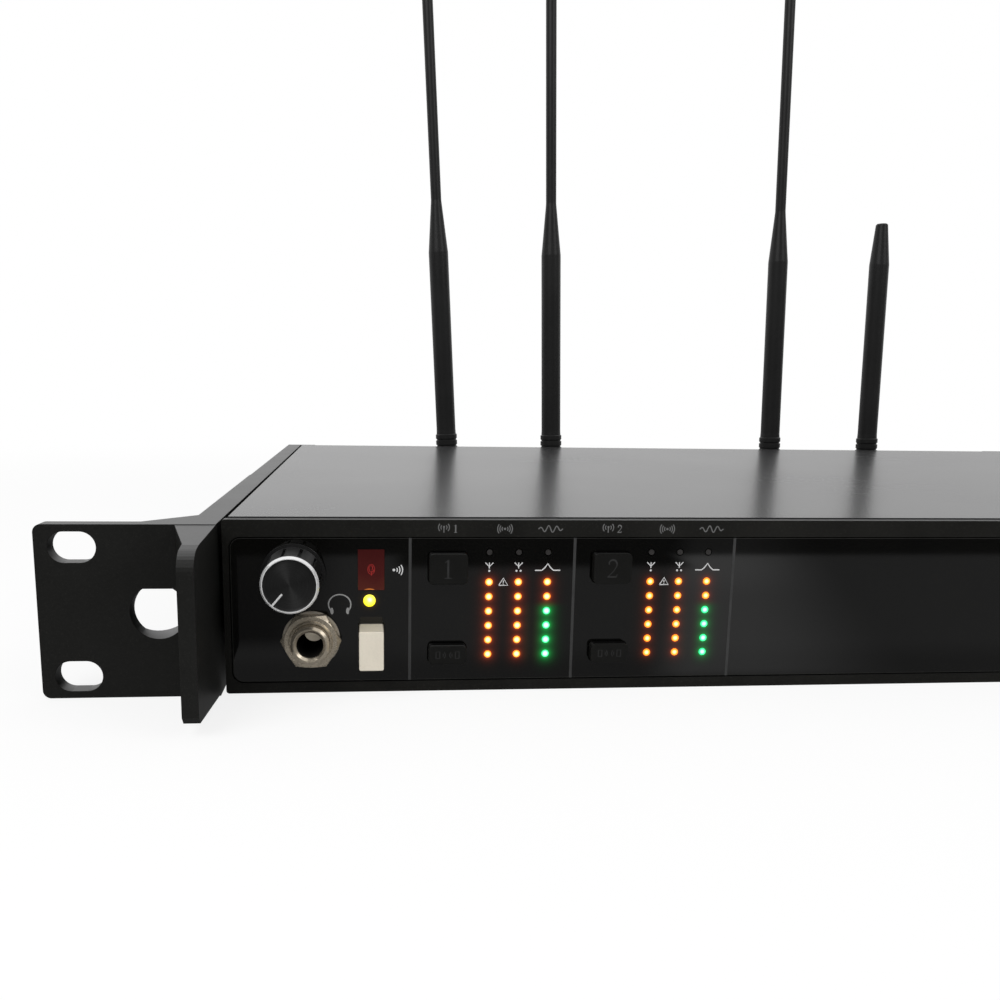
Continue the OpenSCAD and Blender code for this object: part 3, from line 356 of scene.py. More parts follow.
def connector_material():
    """Satin nickel flanges, black cups and bright pins of the two audio outputs."""
    cup_r, pin_ring_r, pin_r, flange_depth = 9.6, 4.0, 1.3, 0.1
    m, nt = tree("output_flange_cup_and_pins")
    co = coords(nt)
    lo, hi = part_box("output_connectors")
    middle_z = (lo.z + hi.z) / 2 / MM
    left_x = (lo.x + hi.x) / 2 / MM - OUTPUT_PITCH / 2
    place = axes(nt, co)
    x = calc(nt, "MULTIPLY_ADD", place["X"], MM_PER_M, -left_x)
    x = calc(nt, "MULTIPLY_ADD", calc(nt, "GREATER_THAN", x, OUTPUT_PITCH / 2), -OUTPUT_PITCH, x)
    z = calc(nt, "MULTIPLY_ADD", place["Z"], MM_PER_M, -middle_z)

    def away(to_x, to_z):
        dx = calc(nt, "SUBTRACT", x, to_x)
        dz = calc(nt, "SUBTRACT", z, to_z)
        return calc(nt, "SQRT", calc(nt, "MULTIPLY_ADD", dx, dx, calc(nt, "MULTIPLY", dz, dz)))

    from_pins = cup_r
    for angle in (90, 210, 330):
        turned = math.radians(angle)
        pin = away(pin_ring_r * math.cos(turned), pin_ring_r * math.sin(turned))
        from_pins = calc(nt, "MINIMUM", from_pins, pin)
    dark = calc(nt, "MULTIPLY", calc(nt, "LESS_THAN", away(0.0, 0.0), cup_r),
        calc(nt, "LESS_THAN", place["Y"], hi.y - flange_depth * MM))
    dark = calc(nt, "MULTIPLY", dark, calc(nt, "GREATER_THAN", from_pins, pin_r))
    large = noise(nt, co, 120.0, 3.0)
    metal = ramp(nt, large, [(0.3, grey(0.45)), (0.7, grey(0.56))])
    plastic = ramp(nt, noise(nt, co, 1400.0), [(0.3, grey(0.008)), (0.7, grey(0.013))])
    surface(nt, {"Base Color": blend(nt, dark, metal, plastic), "Metallic": calc(nt, "SUBTRACT", 1.0, dark),
        "Roughness": mapped(nt, large, 0.26, 0.36), "Normal": bumps(nt, 0.4, 0.01, noise(nt, co, 2400.0))})
    return m


COVER = paint("cover_paint", 0.024, 0.030, 0.265, grain=2600, bump=0.018, spread=0.03, patch=14,
    tint=(1, 1.01, 1.04))
STEEL = paint("base_paint", 0.016, 0.022, 0.48, grain=2200, bump=0.02, level=0.3, patch=20)
# frame and castings: a painted sheen makes their upper faces lighter and metallic
FRAME = paint("frame_paint", 0.0060, 0.0115, 0.46, grain=3200, bump=0.025, level=0.12, sparkle=0.03, painted_sheen=0.07,
    tint=(1, 0.98, 0.86))
CASTING = paint("casting_paint", 0.0085, 0.0120, 0.42, grain=1500, bump=0.03, level=0.12, sparkle=0.02,
    patch=45, painted_sheen=0.10, tint=(1, 1, 0.93))
LENS = lens_material()
LINE = paint("printed_line", 0.030, 0.042, 0.5, level=0.2, patch=200)
PRINT_DIM = paint("print_dim", 0.10, 0.13, 0.6, level=0.2, patch=300)
PRINT_MID = paint("print_mid", 0.24, 0.30, 0.6, level=0.2, patch=300)
PRINT_WHITE = paint("print_white", 0.50, 0.58, 0.6, level=0.2, patch=300)
PRINT_KEY = paint("print_on_keys", 0.019, 0.027, 0.45, level=0.2, patch=300)
PRINT_FAINT = paint("print_faint", 0.016, 0.023, 0.45, level=0.2, patch=300)
GROOVE = paint("groove_shadow", 0.0004, 0.001, 0.7, level=0.02, patch=200)
# a painted highlight: a lighter line just inside the panel's rounded edge
LENS_EDGE_HIGHLIGHT = paint("lens_edge_painted_highlight", 0.012, 0.026, 0.4, level=0.1, tint=(1, 1, 0.92))
SCREW = paint("blackened_screw", 0.10, 0.15, 0.38, metal=0.85, patch=300)
# knobs and keys: a painted sheen makes their upper faces and the keys' upper edges lighter and metallic
KNOB = paint("knob_plastic", 0.006, 0.010, 0.36, grain=2400, bump=0.012, level=0.35, patch=200, painted_sheen=0.20)
KEY = paint("key_plastic", 0.0060, 0.0090, 0.36, grain=3000, bump=0.015, level=0.11, patch=150, painted_sheen=0.05,
    tint=(1, 1, 0.93))
TRIM = paint("trim_silver", 0.78, 0.88, 0.22, grain=3500, bump=0.004, metal=0.4, patch=400)
SHAFT = paint("shaft_metal", 0.55, 0.65, 0.32, grain=3000, bump=0.006, metal=1.0, patch=200)
PART = paint("part_housing", 0.22, 0.28, 0.5, patch=150)
NICKEL = paint("nickel_plate", 0.40, 0.62, 0.27, grain=2200, bump=0.006, metal=0.75, spread=0.06, patch=420,
    tint=(1.0, 0.88, 0.70))
WASHER = paint("washer_plate", 0.42, 0.54, 0.40, grain=2200, bump=0.008, metal=0.45, spread=0.06, patch=420,
    tint=(1.0, 0.90, 0.76))
SPRING = paint("contact_spring", 0.50, 0.62, 0.4, grain=1500, bump=0.004, level=0.4, patch=500,
    tint=(1.0, 0.90, 0.72))
IVORY = paint("ivory_plastic", 0.61, 0.69, 0.42, bump=0.012, level=0.4, patch=120, tint=(1.0, 0.92, 0.77))
LAMP_GREY = paint("unlit_lamp", 0.016, 0.030, 0.35, level=0.3, patch=1400, tint=(1.0, 0.92, 0.90))
BOARD = paint("board_mask", 0.010, 0.022, 0.4, patch=90, tint=(0.5, 2.6, 1.2))
DISPLAY = paint("display_glass", 0.010, 0.016, 0.15, patch=40, tint=(0.8, 1.0, 1.2))
TIN = paint("tin_plate", 0.50, 0.62, 0.3, metal=1.0)
SUPPLY = paint("supply_parts", 0.14, 0.24, 0.5, tint=(1.2, 1.0, 0.45))
INLET = paint("inlet_plastic", 0.010, 0.015, 0.4, level=0.3, patch=120)
ANTENNA = paint("antenna_polymer", 0.0105, 0.0155, 0.36, grain=1400, level=0.22)
ORANGE = lit_lamp("lamp_orange", (1.0, 0.97, 0.70), (1.0, 0.66, 0.13), (0.94, 0.22, 0.01), 1.12)
GREEN = lit_lamp("lamp_green", (0.94, 1.0, 0.96), (0.36, 1.0, 0.62), (0.02, 0.72, 0.22), 1.1)
POWER_LIT = round_glow("power_lamp_lit", (1.0, 1.0, 0.92), (1.0, 1.0, 0.16), (1.0, 0.84, 0.02),
    LAMP_X + 0.1, LAMP_Z + 0.5, 1.7, 1.05)
IR_LIT = round_glow("infrared_lamp", (0.55, 0.05, 0.04), (0.36, 0.03, 0.02), (0.20, 0.01, 0.01),
    POWER_X, IR_Z, 1.6, 0.5)
RED_SHAPE = glimmer("red_behind_filter", 900.0, (0.13, 0.010, 0.010), (0.24, 0.018, 0.016), 0.35, 0.1)
EDGE_LIGHT = glimmer("lamp_in_filter_edge", 1200.0, (0.42, 0.10, 0.01), (0.62, 0.20, 0.02), 0.5, 0.5)


# ---------- CAD pieces: their materials and rounded edges ----------
def dress(mat, *names):
    """Gives CAD pieces one material all over."""
    for name in names:
        slots = NODES[name].data.materials
        if slots:
            for i in range(len(slots)):
                slots[i] = mat
        else:
            slots.append(mat)


WELD_REACH, FLAT_DEGREES, EDGE_DEGREES = 0.002, 0.3, 35


def soften(node, width):
    """Rounds a CAD piece's sharp edges with modifiers; its own mesh isn't touched."""
    weld = NODES[node].modifiers.new("weld", "WELD")
    weld.merge_threshold = WELD_REACH * MM
    flat = NODES[node].modifiers.new("flat", "DECIMATE")
    flat.decimate_type = "DISSOLVE"
    flat.angle_limit = math.radians(FLAT_DEGREES)
    rounding = NODES[node].modifiers.new("round", "BEVEL")
    rounding.width = width * MM
    rounding.segments = 3
    rounding.limit_method = "ANGLE"
    rounding.angle_limit = math.radians(EDGE_DEGREES)
    rounding.miter_outer = "MITER_ARC"
    rounding.use_clamp_overlap = True


CHANNEL_KEYS = ("channel_button_1", "channel_button_2")
SMALL_KEYS = ("sync_button_1", "sync_button_2", "menu_key_1", "menu_key_2")
BRACKETS = ("rack_bracket_left", "rack_bracket_right")
ARMS = ("side_rail_left", "side_rail_right")

dress(COVER, "top_cover")
dress(STEEL, "chassis_base", "rear_panel")
dress(FRAME, "front_frame")
dress(LENS, "front_lens")
dress(LINE, "divider_lines")
dress(CASTING, *BRACKETS, *ARMS)
dress(SCREW, "bracket_screws", "rear_screws")
dress(KNOB, "volume_knob", "menu_knob")
dress(TRIM, "volume_knob_ring", "menu_knob_ring")
dress(SHAFT, "volume_shaft", "menu_shaft")
dress(PART, "volume_pot", "menu_encoder", "key_switches", "power_switch")
dress(NICKEL, "jack_nut", "output_jack", "antenna_sockets")
dress(WASHER, "jack_washer")
dress(IVORY, "power_button")
dress(KEY, *CHANNEL_KEYS, *SMALL_KEYS)
dress(ORANGE, "meter_lamps_orange")
dress(GREEN, "meter_lamps_green")
dress(LAMP_GREY, "status_lamps")
dress(BOARD, "front_board", "main_board")
dress(DISPLAY, "display_module")
dress(TIN, "receiver_can_1", "receiver_can_2")
dress(SUPPLY, "power_supply")
dress(INLET, "power_inlet")
dress(ANTENNA, *[f"antenna_{part}_{i}" for part in ("elbow", "whip") for i in range(1, 5)])
dress(POWER_LIT, "power_lamp")
dress(IR_LIT, "ir_led")
dress(filter_material(), "ir_window")
dress(jack_material(), "headphone_jack")
dress(connector_material(), "output_connectors")

# how wide each piece's edges are rounded, in mm
for width, names in ((0.12, ("top_cover", "jack_nut", "front_lens")), (0.15, ("jack_washer",)),
                     (0.2, ("front_frame",)), (0.28, ("power_button",)), (0.4, SMALL_KEYS),
                     (0.45, CHANNEL_KEYS), (0.5, ARMS), (0.7, BRACKETS)):
    for name in names:
        soften(name, width)


# ---------- mesh helpers ----------
def add(name, bm, mat, body, place=(0.0, 0.0, 0.0), smooth_faces=False):
    """A new piece that rides a body, from a mesh that is given up here."""
    me = bpy.data.meshes.new(name)
    bm.to_mesh(me)
    bm.free()
    me.materials.append(mat)
    if smooth_faces:
        me.shade_smooth()
    o = bpy.data.objects.new(name, me)
    bpy.context.scene.collection.objects.link(o)
    o.location = place
    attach(o, body)
    return o


def arc(cx, cz, rx, rz, start, end, steps):
    """Points on an arc or an oval, from one angle to another."""
    angles = [math.radians(start + (end - start) * i / steps) for i in range(steps + 1)]
    return [(cx + rx * math.cos(a), cz + rz * math.sin(a)) for a in angles]


def stroke(bm, points, width, y):
    """A printed stroke: a flat ribbon in X and Z, in mm, of one width or a width per point."""
    widths = width if isinstance(width, (list, tuple)) else [width] * len(points)
    rows = []
    for i, (x, z) in enumerate(points):
        before, after = points[max(i - 1, 0)], points[min(i + 1, len(points) - 1)]
        dx, dz = after[0] - before[0], after[1] - before[1]
        reach = widths[i] / 2 / (math.hypot(dx, dz) or 1.0)
        rows.append([bm.verts.new(((x - side * dz * reach) * MM, y * MM, (z + side * dx * reach) * MM))
            for side in (1, -1)])
    for (a, b), (c, d) in zip(rows, rows[1:]):
        bm.faces.new((a, b, d, c))


def disc(bm, cx, cz, r, y, steps):
    """A printed dot, in mm."""
    bm.faces.new([bm.verts.new((x * MM, y * MM, z * MM)) for x, z in arc(cx, cz, r, r, 0, 360, steps)[:-1]])


def marks(name, mat, draw, *args, body="body", slot="print_grey"):
    """One piece of print: what draw() lays down, with every face turned to the front."""
    bm = bmesh.new()
    draw(bm, *args)
    bmesh.ops.recalc_face_normals(bm, faces=bm.faces)
    for f in bm.faces:
        f.normal_update()
        if f.normal.y > 0:
            f.normal_flip()
    return add(name, bm, mat, body)


# ---------- knob faces ----------
FACE_SIDES = 72
# the face's own zero lies this far behind the ring's front, in mm
FACE_BACK = 0.25
# radius and further depth of the face, in mm, from its rounded rim to the middle
FACE_PROFILE = ((6.2, 0.295), (6.1, 0.270), (5.4, 0.262), (3.6, 0.266), (1.8, 0.270), (0.5, 0.272))


def knob_face(name, knob, ring, mat):
    """A shallow dished disc on the knob's recessed face, with a rounded rim."""
    lo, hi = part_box(knob)
    place = ((lo.x + hi.x) / 2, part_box(ring)[0].y + FACE_BACK * MM, (lo.z + hi.z) / 2)
    bm = bmesh.new()
    rows = []
    for r, y in FACE_PROFILE:
        circle = arc(0.0, 0.0, r, r, 0, 360, FACE_SIDES)[:-1]
        rows.append([bm.verts.new((x * MM, y * MM, z * MM)) for x, z in circle])
    for a, b in zip(rows, rows[1:]):
        for k in range(FACE_SIDES):
            following = (k + 1) % FACE_SIDES
            bm.faces.new((a[k], a[following], b[following], b[k]))
    bm.faces.new(rows[-1])
    bmesh.ops.recalc_face_normals(bm, faces=bm.faces)
    if sum(f.normal.y for f in bm.faces) > 0:
        bmesh.ops.reverse_faces(bm, faces=bm.faces)
    add(name, bm, mat, knob, place, smooth_faces=True)


FACE = turned_face()
for knob in ("volume_knob", "menu_knob"):
    knob_face(f"{knob}_face", knob, f"{knob}_ring", FACE)

# ---------- printed marks: plain numbers and simple signs, in millimetres ----------
# print stands this far before its surface, and a crossing stroke this far before the last one
INK, LIFT = 0.012, 0.002
FRAME_PRINT_Y, LENS_PRINT_Y = FRAME_Y - INK, LENS_Y - INK
FRAME_SIGN_Z, LENS_SIGN_Z = 41.6, 31.8
SIGN_HALF_H = 0.95


def numeral_1(bm, x, z, h, y, w):
    """A 1 of height h and stroke width w: stem, flag and foot."""
    stroke(bm, [(x, z - h / 2), (x, z + h / 2)], w, y)
    stroke(bm, [(x + w * 0.45, z + h * 0.49), (x - h * 0.07, z + h * 0.43), (x - h * 0.17, z + h * 0.36)],
        [w * 0.7, w * 0.5, w * 0.25], y - LIFT)
    foot = z - h / 2
    stroke(bm, [(x - h * 0.2, foot), (x - h * 0.1, foot + w * 0.12), (x + h * 0.1, foot + w * 0.12),
        (x + h * 0.2, foot)], [w * 0.3, w * 0.45, w * 0.45, w * 0.3], y - 2 * LIFT)


def numeral_2(bm, x, z, h, y, w):
    """A 2 of height h and stroke width w: a bow that swells, foot, and the dot at its start."""
    bow = arc(x, z + h * 0.24, h * 0.23, h * 0.25, 168, -28, 16)
    bow += [(x + h * 0.06, z - h * 0.12), (x - h * 0.24, z - h * 0.44)]
    swell = [min(1, k / (len(bow) - 3)) for k in range(len(bow))]
    stroke(bm, bow, [w * (0.45 + 0.55 * math.sin(math.pi * s)) for s in swell], y)
    stroke(bm, [(x - h * 0.27, z - h * 0.45), (x + h * 0.22, z - h * 0.45)], w * 0.75, y - LIFT)
    stroke(bm, [(x + h * 0.20, z - h * 0.47), (x + h * 0.27, z - h * 0.30)],
        [w * 0.55, w * 0.3], y - 2 * LIFT)
    disc(bm, x - h * 0.20, z + h * 0.27, w * 0.42, y - 3 * LIFT, 14)


def waves(bm, x, z, radii, spread, width, y, sides=(0, 180), steps=8):
    """Arcs of waves that go out to each side."""
    for side in sides:
        for r in radii:
            stroke(bm, arc(x, z, r, r, side - spread, side + spread, steps), width, y)


def link_sign(bm, x, y):
    """Two small units with waves between them."""
    z, half_h, outer, inner, pen, wave_pen = SMALL_KEY_Z, 0.85, 2.9, 1.95, 0.24, 0.22
    for side in (-1, 1):
        a, b = x + side * outer, x + side * inner
        box = [(a, z - half_h), (a, z + half_h), (b, z + half_h), (b, z - half_h), (a, z - half_h)]
        stroke(bm, box, pen, y)
        inward = 180 if side > 0 else 0
        waves(bm, x + side * 1.5, z, (0.45, 0.95), 50, wave_pen, y - LIFT, sides=(inward,))


def mast_sign(bm, x, z, y):
    """A mast with a knob on its tip, and waves at both sides."""
    pen, wave_pen, tip_r, tip_z = 0.26, 0.24, 0.26, z + 0.5
    stroke(bm, [(x, z - SIGN_HALF_H), (x, z + 0.45)], pen, y)
    disc(bm, x, tip_z, tip_r, y - LIFT, 12)
    waves(bm, x, z + 0.35, (0.75, 1.35), 42, wave_pen, y - 2 * LIFT)


def sound_wave(bm, x, z, y):
    """Three periods of a wave that swells and dies away."""
    steps, periods, half_w, height, pen = 48, 3, 3.1, SIGN_HALF_H * 0.9, 0.27
    points = []
    for k in range(steps + 1):
        swell = math.sin(math.pi * k / steps) ** 0.6
        swing = math.sin(k / steps * periods * 2 * math.pi)
        points.append((x - half_w + 2 * half_w * k / steps, z + height * swing * swell))
    stroke(bm, points, pen, y)


def frame_signs(bm, bay, numeral):
    """Over a bay: its mast and number, radio waves over two columns, sound over the third."""
    y, z, numeral_pen, wave_pen, dot_r = FRAME_PRINT_Y, FRAME_SIGN_Z, 0.34, 0.25, 0.3
    mast_x = bay + KEY_DX - 1.1
    number_x = mast_x + 2.9
    middle_x = bay + LED_DX + LED_COL / 2
    level_x = bay + LED_DX + 2 * LED_COL + 0.4
    mast_sign(bm, mast_x, z, y)
    numeral(bm, number_x, z, 2 * SIGN_HALF_H, y, numeral_pen)
    disc(bm, middle_x, z, dot_r, y, 14)
    waves(bm, middle_x, z, (0.75, 1.3, 1.85), 38, wave_pen, y - LIFT)
    sound_wave(bm, level_x, z, y)


def aerial_sign(bm, x, z, y, dots):
    """An aerial, with one dot or two under it for the first and second path."""
    half_w, top, dot_z, dot_pitch, dot_r, pen = 1.0, z + 1.25, z - 0.85, 1.05, 0.27, 0.26
    stroke(bm, [(x, z - 0.25), (x, top)], pen, y)
    stroke(bm, [(x - half_w, top), (x, z + 0.2), (x + half_w, top)], pen, y - LIFT)
    for k in range(dots):
        disc(bm, x + (k - (dots - 1) / 2) * dot_pitch, dot_z, dot_r, y, 12)


def overload_sign(bm, x, z, y):
    """A triangle with a bar and a dot."""
    half_w, foot, top, pen, bar_pen, dot_z, dot_r = 1.15, z - 0.85, z + 1.0, 0.26, 0.24, z - 0.52, 0.14
    stroke(bm, [(x - half_w, foot), (x, top), (x + half_w, foot), (x - half_w, foot)], pen, y)
    stroke(bm, [(x, z + 0.4), (x, z - 0.2)], bar_pen, y - LIFT)
    disc(bm, x, dot_z, dot_r, y - LIFT, 10)


def peak_sign(bm, x, z, y):
    """A line that jumps once, the same to both sides of its peak."""
    pen = 0.30
    left = [(-3.2, -0.75), (-1.5, -0.75), (-0.75, -0.1)]
    right = [(-dx, dz) for dx, dz in reversed(left)]
    stroke(bm, [(x + dx, z + dz) for dx, dz in left + [(0.0, SIGN_HALF_H)] + right], pen, y)


def lens_signs(bm, bay):
    """Over the meters: an aerial for each receiver path, overload between them, and peak."""
    first = bay + LED_DX
    for column in (0, 1):
        aerial_sign(bm, first + column * LED_COL, LENS_SIGN_Z, LENS_PRINT_Y, column + 1)
    overload_sign(bm, first + LED_COL / 2 - 0.1, LED_Z, LENS_PRINT_Y)
    peak_sign(bm, first + 2 * LED_COL, LENS_SIGN_Z, LENS_PRINT_Y)


def headphone_sign(bm):
    """A headband with an ear cup at each end."""
    x, z, y, band_pen = -HALF_W + 27.0, 22.6, LENS_PRINT_Y, 0.33
    cup = [(2.0, 0.85), (1.95, 1.45), (1.9, 2.05), (2.0, 2.5)]
    cup_widths = [0.42, 0.78, 0.74, 0.32]
    stroke(bm, arc(x, z, 2.75, 2.5, 215, -35, 28), band_pen, y)
    for side in (-1, 1):
        stroke(bm, [(x + side * out, z - down) for out, down in cup], cup_widths, y - LIFT)


def infrared_sign(bm):
    """A dot that sends waves to the right."""
    x, z, y, pen, dot_r = POWER_X + 5.6, 31.25, LENS_PRINT_Y, 0.27, 0.34
    disc(bm, x, z, dot_r, y, 14)
    waves(bm, x, z, (0.85, 1.5, 2.15), 36, pen, y - LIFT, sides=(0,), steps=10)


def lens_outline(bm, inset, width, y):
    """A line that follows the panel's rounded edge, a little inside it."""
    lo, hi = [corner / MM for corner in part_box("front_lens")]
    corner_r = 2.8
    left, right, low, high = lo.x + corner_r, hi.x - corner_r, lo.z + corner_r, hi.z - corner_r
    points = []
    for cx, cz, start in ((right, high, 90), (right, low, 0), (left, low, -90), (left, high, -180)):
        points += arc(cx, cz, corner_r - inset, corner_r - inset, start, start - 90, 8)
    stroke(bm, points + points[:2], width, y)


NUMBER_H, NUMBER_PEN = 4.6, 0.5
for i, numeral in enumerate((numeral_1, numeral_2)):
    key, small = CHANNEL_KEYS[i], SMALL_KEYS[i]
    key_print_y, small_print_y = [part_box(piece)[0].y / MM - INK for piece in (key, small)]
    key_x = BAYS[i] + KEY_DX
    marks(f"number_{i + 1}", PRINT_KEY, numeral, key_x - 0.1, KEY_Z, NUMBER_H, key_print_y, NUMBER_PEN,
        body=key)
    marks(f"link_sign_{i + 1}", PRINT_FAINT, link_sign, key_x, small_print_y, body=small)
    marks(f"frame_signs_{i + 1}", PRINT_DIM, frame_signs, BAYS[i], numeral)
    marks(f"lens_signs_{i + 1}", PRINT_WHITE, lens_signs, BAYS[i])

# lines along the panel's edge, a painted shadow in the groove and a painted highlight inside it: name,
# material, inset, width and height before the panel
for name, mat, inset, width, before in (("lens_groove", GROOVE, 0.12, 0.24, 0.006),
                                        ("lens_painted_highlight", LENS_EDGE_HIGHLIGHT, 0.32, 0.14, 0.008)):
    marks(name, mat, lens_outline, inset, width, LENS_Y - before, slot="lens_black")
marks("headphone_sign", PRINT_MID, headphone_sign)
marks("infrared_sign", PRINT_WHITE, infrared_sign)

# ---------- light in the red window, and the jack's contact ----------
WINDOW_PRINT_Y = LENS_Y - 0.062


def infrared_shape(bm):
    """The receiver's dome, seen dim and red through the filter, drawn as a painted glow."""
    x, z, y = POWER_X, IR_Z, WINDOW_PRINT_Y
    stroke(bm, arc(x, z + 0.15, 0.85, 1.25, 0, 360, 28), 0.16, y)
    stroke(bm, arc(x - 0.1, z + 0.45, 0.45, 0.62, -60, 240, 18), 0.22, y - LIFT)
    stroke(bm, arc(x + 0.05, z - 0.1, 0.55, 0.40, 150, 390, 14), 0.20, y - 2 * LIFT)
    stroke(bm, [(x - 0.05, z - 0.35), (x + 0.1, z - 0.9), (x + 0.05, z - 1.5)],
        [0.3, 0.22, 0.1], y - 3 * LIFT)


def filter_edge_light(bm):
    """The power lamp's light in the filter's lower edge, thinner towards both ends."""
    half_w, z, rise = 1.2, IR_BOTTOM + 0.13, 0.13
    widths = [0.05, 0.12, 0.18, 0.2, 0.22, 0.2, 0.18, 0.12, 0.05]
    steps = len(widths) - 1
    points = [(LAMP_X - half_w + 2 * half_w * k / steps, z + rise * math.sin(math.pi * k / steps))
        for k in range(steps + 1)]
    stroke(bm, points, widths, WINDOW_PRINT_Y)


marks("infrared_receiver_shape", RED_SHAPE, infrared_shape, slot="led_red")
marks("filter_edge_light", EDGE_LIGHT, filter_edge_light, slot="led_red")


def jack_contact():
    """The curved spring contact that shows inside the bore, at its upper right."""
    front_y, depth, lean, edge_r, tongue_reach = LENS_Y - 2.4, 1.2, 0.35, 3.15, 3.1
    edge = arc(JACK_X, JACK_Z, edge_r, edge_r, 8, 112, 16)
    tongue = arc(JACK_X + 0.8, JACK_Z + 2.0, 2.15, 2.0, 175, 335, 20)
    outline = edge + [p for p in tongue if math.hypot(p[0] - JACK_X, p[1] - JACK_Z) < tongue_reach]
    bm = bmesh.new()
    front, back = [[bm.verts.new((x * MM, (y - lean * (z - JACK_Z)) * MM, z * MM)) for x, z in outline]
        for y in (front_y, front_y + depth)]
    bm.faces.new(front)
    bm.faces.new(back[::-1])
    for k in range(len(outline)):
        following = (k + 1) % len(outline)
        bm.faces.new((front[following], front[k], back[k], back[following]))
    bmesh.ops.recalc_face_normals(bm, faces=bm.faces)
    rounding = add("jack_contact", bm, SPRING, "body").modifiers.new("round", "BEVEL")
    rounding.width = 0.12 * MM
    rounding.segments = 2


jack_contact()

# ---------- camera, placed by the fit to the photo ----------
CAMERA_PLACE = (-0.1624, -0.2408, 0.0770)
TILT, HEADING, ROLL = -0.190, -0.098, 0.003
cam = bpy.data.objects.new("camera", bpy.data.cameras.new("camera"))
bpy.context.scene.collection.objects.link(cam)
bpy.context.scene.camera = cam
cam.data.sensor_width = 36
cam.data.lens = 35.17
cam.data.shift_x = 0.0348
cam.data.shift_y = 0.070
cam.data.clip_start = 0.01
cam.data.clip_end = 20
turn = (Matrix.Rotation(TILT, 3, "X") @ Matrix.Rotation(HEADING, 3, "Z")
    @ Matrix.Rotation(ROLL, 3, "Y") @ Matrix.Rotation(math.pi / 2, 3, "X"))
cam.matrix_world = Matrix.Translation(CAMERA_PLACE) @ turn.to_4x4()


# ---------- world, lights and floor ----------
def studio_world():
    """White for the camera; for gloss, bright behind the object and above it, dim in front."""
    front_level, matte_level, far_share = 0.14, 0.62, 0.86
    # directions between which each change takes place
    behind_edge, above_edge, higher_edge, right_edge = (-0.35, 0.25), (0.35, 0.95), (0.13, 0.24), (0.05, 0.5)
    world = bpy.data.worlds.new("studio")
    bpy.context.scene.world = world
    world.use_nodes = True
    nt = world.node_tree
    nt.nodes.clear()
    path = put(nt, "ShaderNodeLightPath").outputs
    direction = axes(nt, put(nt, "ShaderNodeTexCoord").outputs["Generated"])
    behind = smooth(nt, direction["Y"], *behind_edge)
    above = smooth(nt, direction["Z"], *above_edge)
    higher = mapped(nt, direction["Z"], 1.0, far_share, *higher_edge)
    rightward = mapped(nt, direction["X"], 1.0, far_share, *right_edge)
    behind = calc(nt, "MULTIPLY", behind, calc(nt, "MULTIPLY", higher, rightward))
    mirrored = calc(nt, "MAXIMUM", between(nt, behind, front_level, 1.0), above)
    seen = calc(nt, "MAXIMUM", path["Is Camera Ray"], path["Is Transmission Ray"])
    level = between(nt, path["Is Glossy Ray"], matte_level, mirrored)
    level = between(nt, seen, level, 1.0)
    background = put(nt, "ShaderNodeBackground", {"Color": (1, 1, 1, 1), "Strength": level})
    put(nt, "ShaderNodeOutputWorld", {"Surface": background.outputs[0]})


def lamp(name, place, aim, size, watts):
    """A rectangular lamp that shines from one place at another."""
    data = bpy.data.lights.new(name, "AREA")
    data.shape = "RECTANGLE"
    data.size, data.size_y = size
    data.energy = watts
    o = bpy.data.objects.new(name, data)
    bpy.context.scene.collection.objects.link(o)
    o.location = place
    o.rotation_euler = (Vector(aim) - Vector(place)).to_track_quat("-Z", "Y").to_euler()


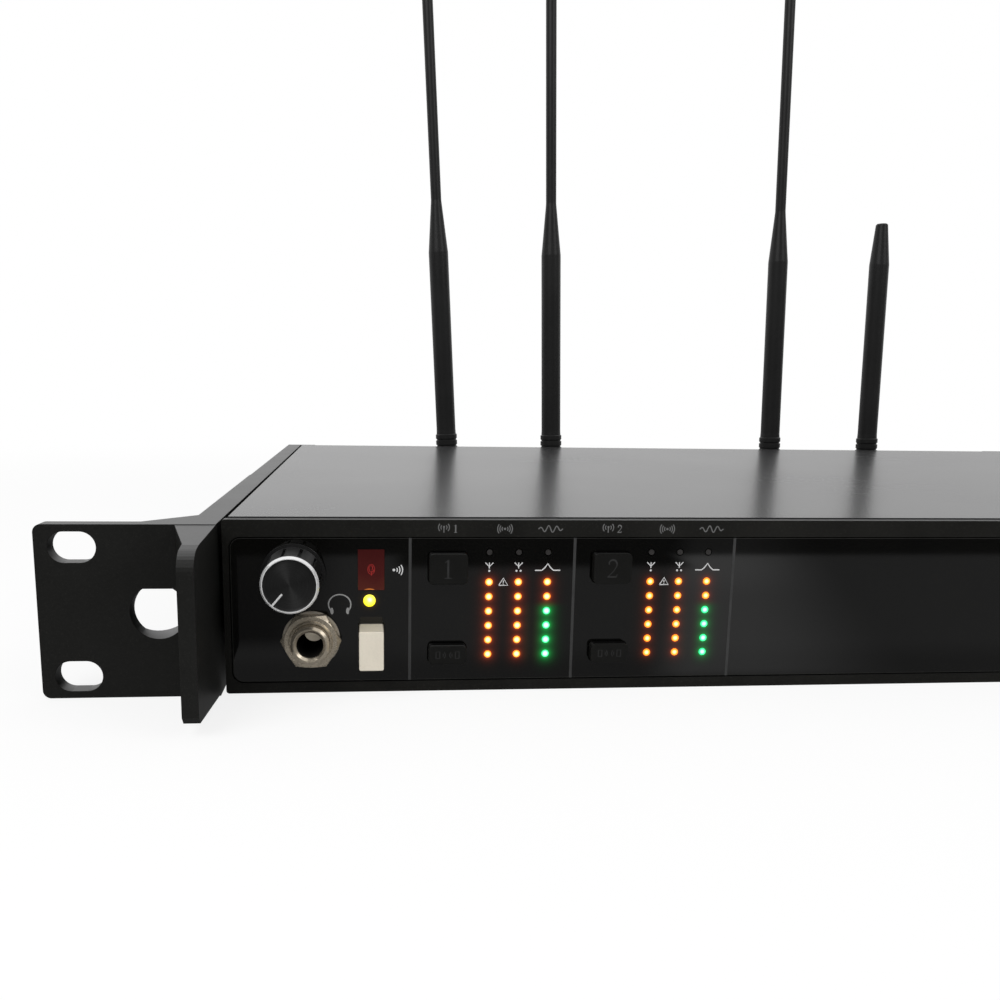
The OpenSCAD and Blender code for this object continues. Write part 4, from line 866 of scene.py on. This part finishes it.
def mirrored_floor(nt):
    """What gloss sees of the floor: dim, with a paler slanted strip before the meters, and
    darker far in front, nearer in the middle, and at the left."""
    base, step_up, strip, strip_far = 0.22, 0.08, 0.38, 0.18
    front_loss, left_loss, slope, slope_y = 0.80, 0.68, 0.35, 0.084
    # each edge is soft: where it begins and where it has reached its full effect, in metres
    middle_left, middle_right, middle_front = (-0.155, -0.145), (-0.018, -0.026), (-0.160, -0.182)
    front_edge, left_edge, left_back = (-0.192, -0.208), (-0.168, -0.195), (-0.035, -0.060)
    strip_left, strip_right, strip_back = (-0.066, -0.050), (0.015, -0.035), (-0.004, -0.02)
    step_edge, strip_far_edge = (-0.02, -0.05), (-0.10, -0.17)
    place = axes(nt, coords(nt))
    x, y = place["X"], place["Y"]
    middle = calc(nt, "MULTIPLY", smooth(nt, x, *middle_left), smooth(nt, x, *middle_right))
    middle = calc(nt, "MULTIPLY", middle, smooth(nt, y, *middle_front))
    far_front = calc(nt, "MAXIMUM", smooth(nt, y, *front_edge), middle)
    left_side = calc(nt, "MULTIPLY", smooth(nt, x, *left_edge), smooth(nt, y, *left_back))
    slant = calc(nt, "MULTIPLY_ADD", calc(nt, "ADD", y, slope_y), slope, x)
    pale = calc(nt, "MULTIPLY", smooth(nt, slant, *strip_left), smooth(nt, slant, *strip_right))
    pale = calc(nt, "MULTIPLY", pale, smooth(nt, y, *strip_back))
    level = calc(nt, "MULTIPLY_ADD", smooth(nt, y, *step_edge), step_up, base)
    level = calc(nt, "MULTIPLY_ADD", pale, strip, level)
    pale_far = calc(nt, "MULTIPLY", pale, smooth(nt, y, *strip_far_edge))
    level = calc(nt, "MULTIPLY_ADD", pale_far, strip_far, level)
    return dimmed(nt, dimmed(nt, level, far_front, front_loss), left_side, left_loss)


def floor_material():
    """Matte white that catches the object's shadow, and shines white towards the horizon, so
    that floor and backdrop meet without a line. Gloss sees a pattern of its own."""
    white_edge, near_share = (0.35, 1.1), 0.82
    m, nt = tree("floor_white")
    path = put(nt, "ShaderNodeLightPath").outputs
    glossy = path["Is Glossy Ray"]
    seen = calc(nt, "MAXIMUM", path["Is Camera Ray"], path["Is Transmission Ray"])
    seen = calc(nt, "MAXIMUM", seen, glossy)
    matte = put(nt, "ShaderNodeBsdfDiffuse", {"Color": (*grey(0.95), 1)})
    shine = put(nt, "ShaderNodeEmission", {"Color": (1, 1, 1, 1),
        "Strength": between(nt, glossy, 1.0, mirrored_floor(nt))})
    far = smooth(nt, vector(nt, "LENGTH", coords(nt)), *white_edge, near_share, 1.0)
    share = calc(nt, "MULTIPLY", seen, calc(nt, "MAXIMUM", far, glossy))
    mixed = put(nt, "ShaderNodeMixShader", {0: share, 1: matte.outputs[0], 2: shine.outputs[0]})
    put(nt, "ShaderNodeOutputMaterial", {"Surface": mixed.outputs[0]})
    return m


def floor(half):
    """The ground under the object, this far to each side."""
    corners = [(-half, -half, 0), (half, -half, 0), (half, half, 0), (-half, half, 0)]
    me = bpy.data.meshes.new("floor")
    me.from_pydata(corners, [], [(0, 1, 2, 3)])
    me.materials.append(floor_material())
    o = bpy.data.objects.new("floor", me)
    bpy.context.scene.collection.objects.link(o)


studio_world()
lamp("key", (-0.75, -0.75, 0.95), (-0.1, 0.0, 0.0), (0.9, 0.6), 9.0)
lamp("fill", (0.9, -0.6, 0.8), (0.0, 0.05, 0.0), (0.8, 0.6), 4.0)
floor(6)

# ---------- view and finish ----------
bpy.context.scene.view_settings.view_transform = "Standard"
